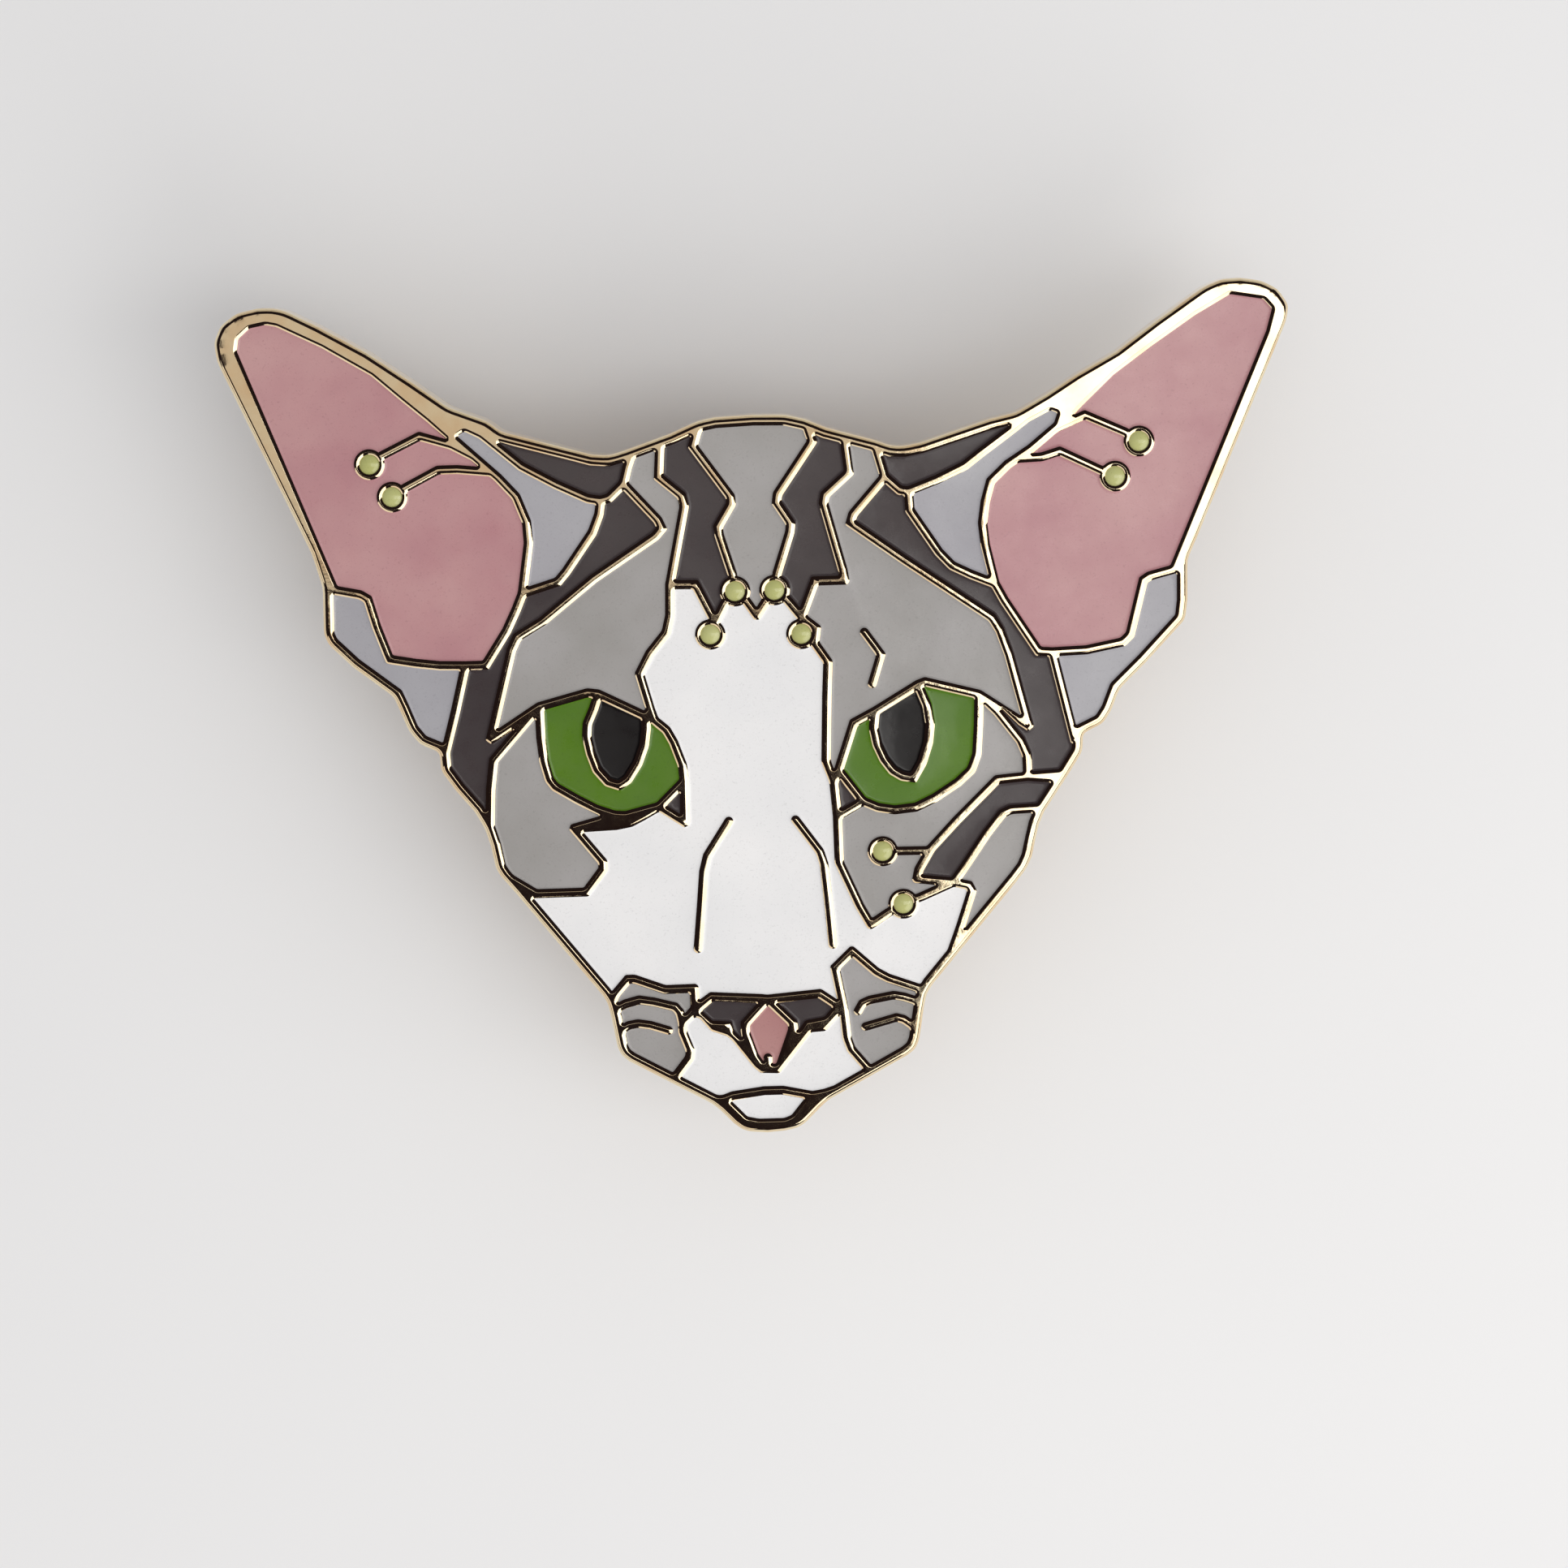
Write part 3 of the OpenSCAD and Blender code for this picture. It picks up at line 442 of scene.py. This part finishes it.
def mixed(tree, amount, a, b):
    """Colour a where the amount is 0, b where it is 1."""
    made = tree.nodes.new("ShaderNodeMix")
    made.data_type = "RGBA"
    for socket, colour in ((made.inputs[6], a), (made.inputs[7], b)):
        if isinstance(colour, bpy.types.NodeSocket):
            tree.links.new(colour, socket)
        else:
            socket.default_value = (*colour, 1)
    tree.links.new(amount, made.inputs[0])
    return made.outputs[2]


def bump(tree, shader, height, depth_mm, coat=False):
    made = node(tree, "ShaderNodeBump", Strength=1.0, Distance=depth_mm * MM)
    tree.links.new(height, made.inputs["Height"])
    tree.links.new(made.outputs["Normal"], shader.inputs["Normal"])
    if coat:
        tree.links.new(made.outputs["Normal"], shader.inputs["Coat Normal"])


def plated(name, bright, worn, rough, wave_mm=0.5, wave_depth=0.004):
    """Polished plating: a faint waviness, warmer worn patches and uneven polish."""
    material, tree, shader = new_material(name)
    shader.inputs["Metallic"].default_value = 1.0
    patches = ranged(tree, noise(tree, 1.6), 0, 1, 0.42, 0.72)
    tree.links.new(mixed(tree, patches, linear(bright), linear(worn)), shader.inputs["Base Color"])
    polish = ranged(tree, noise(tree, 0.35), rough * 0.8, rough * 1.4)
    tree.links.new(polish, shader.inputs["Roughness"])
    bump(tree, shader, noise(tree, wave_mm, 4.0), wave_depth)
    return material


def pebbled(name, bright, worn):
    """The struck back: the same plating over a fine leathery grain."""
    material, tree, shader = new_material(name)
    shader.inputs["Metallic"].default_value = 1.0
    patches = ranged(tree, noise(tree, 2.5), 0, 1)
    tree.links.new(mixed(tree, patches, linear(bright), linear(worn)), shader.inputs["Base Color"])
    shader.inputs["Roughness"].default_value = 0.3
    bump(tree, shader, noise(tree, 0.45, 2.0, 0.4), 0.09)
    return material


def enamel(name, code, lighter, rough=0.3):
    """Baked enamel: colour that settled unevenly, fine specks and a glossy, rippled skin."""
    material, tree, shader = new_material(name)
    clouds = ranged(tree, noise(tree, 5.0), 0, 1)
    specks = ranged(tree, noise(tree, 0.09, 1.0), 0, 0.5, 0.62, 0.8)
    colour = mixed(tree, clouds, linear(code), linear(lighter))
    dust = mixed(tree, specks, colour, tuple(0.72 * c for c in linear(code)))
    tree.links.new(dust, shader.inputs["Base Color"])
    polish = ranged(tree, noise(tree, 0.8), rough * 0.8, rough * 1.3)
    tree.links.new(polish, shader.inputs["Roughness"])
    shader.inputs["Specular IOR Level"].default_value = 0.5
    shader.inputs["Coat Weight"].default_value = 0.35
    shader.inputs["Coat Roughness"].default_value = 0.08
    bump(tree, shader, noise(tree, 1.4, 3.0), 0.006, coat=True)
    return material


def make_materials():
    return {
        "gold_plate": plated("gold_plate", "f5e5c2", "efd3aa", 0.07),
        "gold_back": pebbled("gold_back", "dcc08c", "c39a66"),
        "post_gold": plated("post_gold", "e9c98a", "cf9f66", 0.24, 0.25, 0.006),
        "clutch_gold": plated("clutch_gold", "ecd193", "d8b06e", 0.2, 0.7, 0.01),
        "pink_enamel": enamel("pink_enamel", "ae7a80", "bc9090"),
        "nose_pink_enamel": enamel("nose_pink_enamel", "a77574", "b2827f"),
        "grey_enamel": enamel("grey_enamel", "95928f", "a19e9d"),
        "pale_grey_enamel": enamel("pale_grey_enamel", "9c9aa0", "a7a6aa"),
        "dark_grey_enamel": enamel("dark_grey_enamel", "382f31", "3f3738"),
        "white_enamel": enamel("white_enamel", "e0e0e1", "e8e7e7"),
        "green_enamel": enamel("green_enamel", "476f07", "53790d"),
        "black_enamel": enamel("black_enamel", "0b0709", "120d0f"),
        "dot_enamel": enamel("dot_enamel", "acae6a", "bcbd82", 0.2),
    }


# ---- The face ----
def make_die(materials, outline, pockets):
    """The plate: ridges and a rim with sloping shoulders round open pockets, and a pebbled back."""
    b = Builder()
    walls = [pocket.turned_round() for pocket in pockets]
    ridges = shoulder(walls, Z_TOP, RIDGE_SIDE, RIDGE_DROP)
    rim = shoulder([outline], Z_TOP, RIM_SIDE, RIM_DROP)

    def top(at):
        (z, slope), (rim_z, rim_slope) = ridges(at), rim(at)
        lower = rim_z < z
        return np.where(lower, rim_z, z), np.where(lower[:, None], rim_slope, slope)

    def back(at):
        distance, away = nearest(at, [outline])
        fall, slope = roll(distance, BACK_ROLL, BACK_ROLL)
        start, end = RECESS_EDGE
        t = np.clip((distance - start) / (end - start), 0, 1)
        rise = RECESS * t * t * (3 - 2 * t)
        climb = RECESS * 6 * t * (1 - t) / (end - start)
        return Z_BACK + fall + rise, (climb - slope)[:, None] * away

    def back_finish(at, z):
        return [int(h > Z_BACK + 0.9 * RECESS) for h in z]

    b.blanket([outline] + walls, METAL_RINGS, top)
    b.wall(outline, Z_BACK + BACK_ROLL, Z_TOP - RIM_DROP)
    b.blanket([outline], BACK_RINGS, back, up=False, finish=back_finish)
    for wall in walls:
        b.wall(wall, Z_FLOOR, Z_TOP - RIDGE_DROP)
    b.blanket(pockets, (), level(Z_FLOOR))
    b.make("die_struck", [materials["gold_plate"], materials["gold_back"]], "pin", ["die"],
           "gold_plate")


def make_enamel(name, slot, materials, edges):
    """One colour's fill: flat, and drawn up a little where it meets the metal."""
    def top(at):
        distance, away = nearest(at, edges)
        rise = MENISCUS * np.exp(-distance / MENISCUS_W)
        return Z_ENAMEL + rise, (-rise / MENISCUS_W)[:, None] * away

    b = Builder()
    b.blanket(edges, ENAMEL_RINGS, top)
    b.blanket(edges, (), level(Z_FLOOR), up=False)
    for edge in edges:
        b.wall(edge, Z_FLOOR, Z_ENAMEL + MENISCUS)
    b.make(name + "_fill", [materials[slot]], "pin", [name], slot)


def make_dots(name, materials, edges):
    """Domed dots, each in its ring."""
    b = Builder()
    for edge in edges:
        centre = edge.points.mean(0)
        radius = np.linalg.norm(edge.points - centre, axis=1).mean()

        def dome(at):
            gap = (at - centre) / radius
            return Z_ENAMEL + DOT_RISE * (1 - (gap ** 2).sum(1)), -2 * DOT_RISE / radius * gap

        b.blanket([edge], DOT_RINGS, dome)
        b.blanket([edge], (), level(Z_FLOOR), up=False)
        b.wall(edge, Z_FLOOR, Z_ENAMEL)
    b.make(name + "_domed", [materials["dot_enamel"]], "pin", [name], "dot_enamel")


def make_face(materials):
    outline = rounded(flat_loops("die", top=False)[0], OUTLINE_CUT)
    slots = {part["node"]: part["material_slot"] for part in frame["record"]["subparts"]}
    pockets = []
    for name, slot in slots.items():
        if not slot.endswith("enamel"):
            continue
        dots = slot == "dot_enamel"
        spacing = DOT_SPACING if dots else SPACING
        edges = [rounded(loop, spacing=spacing) for loop in flat_loops(name)]
        pockets += edges
        if dots:
            make_dots(name, materials, edges)
        else:
            make_enamel(name, slot, materials, edges)
    make_die(materials, outline, pockets)


# ---- The back: posts and clutches ----
SIDES = ("left", "right")
POST_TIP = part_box("left_post")[0].z / MM
DISC_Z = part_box("left_clutch_disc")[1].z / MM
DISC_R = (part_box("left_clutch_disc")[1].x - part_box("left_clutch_disc")[0].x) / 2 / MM
SHEET = 0.3               # thickness of the pressed brass
COLLAR_R, SHANK_R, GROOVE_R, POINT_R = 0.66, 0.5, 0.4, 0.1   # radii along the post
POINT_LEN = 1.3           # length of the post's taper
GROOVE_IN = 0.12          # half the spring's groove, at its floor
GROOVE_OUT = 0.24         # and where it opens
PAD_R, PAD_T = 2.0, 0.3   # radius and thickness of the solder pad
SOLDER = 0.5              # radius of the solder's fillet
STEP_Z = DISC_Z + 0.05    # where the collar ends
SPRING_DROP = 1.2         # the spring lies this far below the disc's top
BEAD_DROP = 1.75          # and the beads that the wings turn on this far
WING_ANGLE = 48.0         # how steeply the wings hang, in degrees


def post_axis(side):
    """The place of a post's axis, at the frame's own height, in mm."""
    low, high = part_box(side + "_clutch_disc")
    return Matrix.Translation(((low.x + high.x) / 2 / MM, (low.y + high.y) / 2 / MM, 0))


def disc_frame(side):
    """The same at the top of its clutch's disc, where the clutch's pieces are drawn from."""
    return post_axis(side) @ Matrix.Translation((0, 0, DISC_Z))


def arc(centre, radius, start, end, steps):
    """Points on an arc from one angle to another, in degrees."""
    angles = np.radians(np.linspace(start, end, steps + 1))
    return [(centre[0] + radius * math.cos(a), centre[1] + radius * math.sin(a)) for a in angles]


def make_post(side, materials):
    """Turned post with a blunt point, the spring's groove, and a solder fillet up to its pad."""
    groove_z = DISC_Z - SPRING_DROP
    pad_z = Z_BACK - PAD_T
    sunk = 0.03
    pad_top = Z_BACK + RECESS + sunk
    profile = [(0, POST_TIP), (POINT_R, POST_TIP), (SHANK_R, POST_TIP + POINT_LEN),
               (SHANK_R, groove_z - GROOVE_OUT), (GROOVE_R, groove_z - GROOVE_IN),
               (GROOVE_R, groove_z + GROOVE_IN), (SHANK_R, groove_z + GROOVE_OUT),
               (SHANK_R, STEP_Z), (COLLAR_R, STEP_Z)]
    profile += arc((COLLAR_R + SOLDER, pad_z - SOLDER), SOLDER, 180, 90, 8)
    profile += [(PAD_R, pad_z), (PAD_R, pad_top), (0, pad_top)]
    b = Builder()
    b.lathe(rounded(np.array(profile), 0.07, 0.4), 48)
    b.placed(post_axis(side))
    b.make(side + "_post_turned", [materials["post_gold"]], "pin", [side + "_post"], "post_gold")


def make_disc(side, materials):
    """Pressed disc: a funnel round its hole, a stiffening bead and a rolled edge."""
    roll_r = 0.38
    edge_r = DISC_R - roll_r
    hole_r, throat = 0.72, 0.9
    bead = [(3.6, 0.0), (3.85, -0.1), (4.25, -0.1), (4.5, 0.0)]
    meet = math.degrees(math.asin((roll_r - SHEET) / roll_r))
    under = [(hole_r + SHEET, -throat), (hole_r + SHEET, -0.7), (1.85, -SHEET)]
    under += [(r, z - SHEET) for r, z in bead]
    curl = arc((edge_r, -roll_r), roll_r, 180 - meet, 450, 26)
    over = bead[::-1] + [(1.7, 0.0), (hole_r, -0.55), (hole_r, -throat)]
    b = Builder()
    b.lathe(rounded(np.array(under + curl + over), 0.12, 0.5), 96)
    b.placed(disc_frame(side))
    b.make(side + "_disc_pressed", [materials["clutch_gold"]], side + "_disc",
           [side + "_clutch_disc"], "clutch_gold")


def make_cap(side, materials):
    """Crimped cap with a slot for each wing, its cut edges softened."""
    top = -SHEET - 0.06
    cap_r, flange_r, shoulder, drop, end_r, hole_r = 2.5, 3.3, 2.0, 2.6, 1.6, 1.0
    profile = [(cap_r - SHEET, top), (cap_r - SHEET, 0.05 - shoulder), (end_r - 0.1, SHEET - drop),
               (hole_r, SHEET - drop), (hole_r, -drop), (end_r, -drop), (cap_r, -shoulder),
               (cap_r, top - SHEET), (flange_r, top - SHEET), (flange_r, top)]
    b = Builder()
    b.lathe(rounded(np.array(profile), 0.1, 0.6), 64)
    b.placed(disc_frame(side))
    cap = b.make(side + "_cap_crimped", [materials["clutch_gold"]], side + "_cap",
                 [side + "_clutch_cap"], "clutch_gold")
    # The slots run out through the cap's side and end
    slot_w, slot_in, slot_drop = 2.4, 1.35, 0.8
    slot_out = slot_in + 2
    corners = [(-slot_w / 2, slot_in), (slot_w / 2, slot_in),
               (slot_w / 2, slot_out), (-slot_w / 2, slot_out)]
    cutter = Builder()
    for way in (1, -1):
        one = Builder()
        edge = rounded(np.array(corners), 0.2, 3)
        one.blanket([edge], (), level(-slot_drop))
        one.blanket([edge], (), level(-drop - 1), up=False)
        one.wall(edge, -drop - 1, -slot_drop)
        cutter.join(one.placed(disc_frame(side) @ Matrix.Scale(way, 4, (0, 1, 0))))
    cut(cap, cutter)
    bevel = cap.modifiers.new("edges", "BEVEL")
    bevel.width = 0.05 * MM
    bevel.segments = 2
    bevel.limit_method = "ANGLE"
    bevel.angle_limit = math.radians(40)


def cut(piece, cutter):
    """Takes the cutter's shape out of the piece's mesh."""
    tool_mesh = bpy.data.meshes.new("tool")
    tool_mesh.from_pydata((np.vstack(cutter.points) * MM).tolist(), [], cutter.faces)
    tool = bpy.data.objects.new("tool", tool_mesh)
    bpy.context.scene.collection.objects.link(tool)
    weld = tool.modifiers.new("weld", "WELD")
    weld.merge_threshold = 0.001 * MM
    slots = piece.modifiers.new("slots", "BOOLEAN")
    slots.operation = "DIFFERENCE"
    slots.solver = "EXACT"
    slots.object = tool
    graph = bpy.context.evaluated_depsgraph_get()
    piece.data = bpy.data.meshes.new_from_object(piece.evaluated_get(graph))
    piece.modifiers.remove(slots)
    bpy.data.objects.remove(tool)
    piece.data.polygons.foreach_set("use_smooth", [True] * len(piece.data.polygons))
    piece.data.set_sharp_from_angle(angle=math.radians(35))


def make_spring(side, materials):
    """Hairpin of round wire, its ends rounded off."""
    wire_r, leg_y, start, end, around = 0.2, 0.78, -1.7, 1.05, 20
    tip = (1, 0.92, 0.7, 0.38)
    bend = arc((end, 0), leg_y, -90, 90, 20)
    path = np.array([(start, -leg_y), (0.0, -leg_y), *bend, (0.0, leg_y), (start, leg_y)])
    b = Builder()
    along = unit(np.gradient(path, axis=0))
    angles = np.arange(around) * 2 * math.pi / around
    rings = []

    def ring(centre, way, radius, lean):
        out = right_of(way)
        spokes = np.column_stack([np.outer(np.cos(angles), out), np.sin(angles)])
        points = np.array([*centre, -SPRING_DROP]) + radius * spokes
        rings.append(b.add(points, spokes * math.sqrt(1 - lean * lean) + lean * np.array([*way, 0])))

    for t in tip:
        ring(path[0] + along[0] * wire_r * (1 - t), along[0], wire_r * math.sqrt(1 - t * t), -t)
    for centre, way in zip(path[1:-1], along[1:-1]):
        ring(centre, way, wire_r, 0)
    for t in tip[::-1]:
        ring(path[-1] - along[-1] * wire_r * (1 - t), along[-1], wire_r * math.sqrt(1 - t * t), t)
    for low, high in zip(rings, rings[1:]):
        b.strip(low, high)
    b.placed(disc_frame(side))
    b.make(side + "_spring_wire", [materials["clutch_gold"]], side + "_cap",
           [side + "_clutch_spring"], "clutch_gold")


def sheet_metal(outline, thickness, soft, relief=None, extra=None):
    """A flat piece cut from sheet, its cut edges rounded by soft, with a relief pressed in it."""
    half = thickness / 2

    def face(sign):
        def surface(at):
            distance, away = nearest(at, [outline])
            fall, slope = roll(distance, soft, soft)
            lift, tilt = relief(at) if relief else (0, 0)
            return sign * (half - fall) + lift, sign * slope[:, None] * away + tilt
        return surface

    b = Builder()
    rings = (0.15 * soft, 0.5 * soft, soft)
    b.blanket([outline], rings, face(1), extra=extra)
    b.blanket([outline], rings, face(-1), up=False, extra=extra)
    b.wall(outline, soft - half, half - soft)
    return b


def make_wing(side, name, way, materials):
    """Wing: the finger tab with its grip ribs, the bead that it turns on, and the jaw inside."""
    bead_y, bead_r, bead_w = 2.15, 0.4, 2.3
    neck_w, neck_len, wing_w = 2.1, 1.7, 4.6
    angle = math.radians(WING_ANGLE)
    wing_len = (DISC_Z - BEAD_DROP - SHEET / 2 * math.cos(angle)) / math.sin(angle)
    tab_end = wing_len - wing_w / 2
    ribs, rib_half, rib_s, rib_h, rib_end = (2.75, 3.35, 3.95), 1.25, 0.13, 0.07, 0.06

    def grip(at):
        x, y = at[:, :1], at[:, 1:]
        across = 1 / (1 + np.exp((np.abs(x) - rib_half) / rib_end))
        bumps = [rib_h * np.exp(-((y - r) / rib_s) ** 2) for r in ribs]
        lift = sum(bumps) * across
        tilt_y = sum(-2 * (y - r) / rib_s ** 2 * bump for r, bump in zip(ribs, bumps)) * across
        tilt_x = -sum(bumps) * across * (1 - across) / rib_end * np.sign(x)
        return lift[:, 0], np.column_stack([tilt_x[:, 0], tilt_y[:, 0]])

    outline = [(-neck_w / 2, 0.2), (neck_w / 2, 0.2), (neck_w / 2, neck_len), (wing_w / 2, neck_len)]
    outline += arc((0, tab_end), wing_w / 2, 0, 180, 24)
    outline += [(-wing_w / 2, neck_len), (-neck_w / 2, neck_len)]
    xs = np.concatenate([np.linspace(-1.5, -1.0, 8), np.linspace(-0.6, 0.6, 3),
                         np.linspace(1.0, 1.5, 8)])
    ys = np.arange(ribs[0] - 0.35, ribs[-1] + 0.36, 0.05)
    grid = np.array([(x, y) for x in xs for y in ys])
    tab = sheet_metal(rounded(np.array(outline), 0.4), SHEET, 0.09, grip, grid)
    tab.placed(Matrix.Translation((0, bead_y, -BEAD_DROP)) @ Matrix.Rotation(-angle, 4, "X"))

    bead = Builder()
    barrel = [(0, -bead_w / 2), (bead_r, -bead_w / 2), (bead_r, bead_w / 2), (0, bead_w / 2)]
    bead.lathe(rounded(np.array(barrel), 0.1, 0.6), 32)
    bead.placed(Matrix.Translation((0, bead_y, -BEAD_DROP)) @ Matrix.Rotation(math.pi / 2, 4, "Y"))

    arm_w, jaw_y = 1.8, 1.06
    arm = [(jaw_y, -1.55), (bead_y, -BEAD_DROP - 0.15), (bead_y, 0.18 - BEAD_DROP),
           (jaw_y + SHEET, -1.25), (jaw_y + SHEET, -1.0), (jaw_y, -1.0)]
    jaw = sheet_metal(rounded(np.array(arm), 0.05), arm_w, 0.06)
    jaw.placed(Matrix(((0, 0, 1, 0), (1, 0, 0, 0), (0, 1, 0, 0), (0, 0, 0, 1))))
    for part in (bead, jaw):
        tab.join(part)
    tab.placed(disc_frame(side) @ Matrix.Scale(way, 4, (0, 1, 0)))
    tab.make(f"{side}_wing_{name}_bent", [materials["clutch_gold"]], f"{side}_wing_{name}",
             [f"{side}_wing_{name}"], "clutch_gold")


def make_back(materials):
    for side in SIDES:
        make_post(side, materials)
        make_disc(side, materials)
        make_cap(side, materials)
        make_spring(side, materials)
        for name, way in (("upper", 1), ("lower", -1)):
            make_wing(side, name, way, materials)


# ---- Stage ----
CAMERA_AT = Vector((4.39, 23.96, 207.1)) * MM      # nearly straight above the face
CAMERA_TURN = Euler([math.radians(a) for a in (-7.85, 0.764, -1.8)], "XYZ")
LENS = 96.9
FLOOR_HALF = 1.5


def make_camera():
    """The camera over the face."""
    data = bpy.data.cameras.new("camera")
    data.lens = LENS
    data.clip_start = 0.005
    camera = bpy.data.objects.new("camera", data)
    camera.location = CAMERA_AT
    camera.rotation_euler = CAMERA_TURN
    bpy.context.scene.collection.objects.link(camera)
    bpy.context.scene.camera = camera


def make_floor():
    """A pale sheet, faintly mottled, which stays under the tips of the wings when they move."""
    material, tree, shader = new_material("floor")
    tree.links.new(mixed(tree, noise(tree, 60.0), (0.74, 0.74, 0.75), (0.8, 0.8, 0.8)),
                   shader.inputs["Base Color"])
    shader.inputs["Roughness"].default_value = 0.7
    mesh = bpy.data.meshes.new("floor")
    corners = [(x * FLOOR_HALF, y * FLOOR_HALF, 0) for x, y in ((-1, -1), (1, -1), (1, 1), (-1, 1))]
    mesh.from_pydata(corners, [], [(0, 1, 2, 3)])
    mesh.materials.append(material)
    floor = bpy.data.objects.new("floor", mesh)
    bpy.context.scene.collection.objects.link(floor)
    for side in SIDES:
        middle_x = post_axis(side).translation.x
        for name, end in (("upper", 1), ("lower", 0)):
            wing = f"{side}_wing_{name}"
            tip = bpy.data.objects.new(wing + "_tip", None)
            tip.location = (middle_x * MM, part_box(wing)[end].y, 0)
            bpy.context.scene.collection.objects.link(tip)
            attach(tip, wing)
            under = floor.constraints.new("FLOOR")
            under.target = tip
            under.floor_location = "FLOOR_NEGATIVE_Z"


def area_light(name, at, aim, size, radiance, colour, in_gloss=True):
    """A soft box at a place, aimed at another, as bright as a surface of that radiance."""
    data = bpy.data.lights.new(name, "AREA")
    data.shape = "RECTANGLE"
    data.size, data.size_y = size
    data.energy = radiance * math.pi * size[0] * size[1]
    data.color = colour
    light = bpy.data.objects.new(name, data)
    light.location = at
    light.rotation_euler = (Vector(aim) - Vector(at)).to_track_quat("-Z", "Y").to_euler()
    light.visible_glossy = in_gloss
    bpy.context.scene.collection.objects.link(light)


def make_world():
    """A soft pale surround, which polished metal sees as a dim room."""
    world = bpy.data.worlds.new("surround")
    bpy.context.scene.world = world
    world.use_nodes = True
    tree = world.node_tree
    ray = tree.nodes.new("ShaderNodeLightPath")
    lit = mixed(tree, ray.outputs["Is Glossy Ray"], (0.57, 0.57, 0.58), (0.014, 0.009, 0.011))
    shown = mixed(tree, ray.outputs["Is Camera Ray"], lit, (0.72, 0.72, 0.73))
    tree.links.new(shown, tree.nodes["Background"].inputs["Color"])


def make_lights():
    """An even fill, two ceiling panels, a large window on the right, and two low dim panels."""
    area_light("fill", (0, 0, 0.6), (0, 0, 0), (0.5, 0.5), 0.3, (1, 1, 1), in_gloss=False)
    area_light("left_ceiling", (-0.04, 0.008, 0.36), (-0.04, 0.008, 0), (0.11, 0.066), 0.6,
               (1.0, 0.9, 0.8))
    area_light("right_ceiling", (0.158, -0.025, 0.36), (0.158, -0.025, 0), (0.283, 0.13), 2.1,
               (1.0, 0.98, 0.95))
    area_light("window", (0.3, -0.21, 0.25), (0, 0, 0.01), (0.5, 0.44), 1.85, (1.0, 0.98, 0.94))
    area_light("low_left", (-0.24, -0.28, 0.1), (0, 0, 0.01), (0.5, 0.14), 0.9, (1.0, 0.93, 0.86))
    area_light("low_back", (0, 0.4, 0.05), (0, 0, 0.01), (0.8, 0.08), 0.5, (1.0, 0.93, 0.82))


bpy.context.scene.view_settings.view_transform = "Standard"
make_camera()
make_floor()
make_world()
make_lights()
finishes = make_materials()
make_face(finishes)
make_back(finishes)
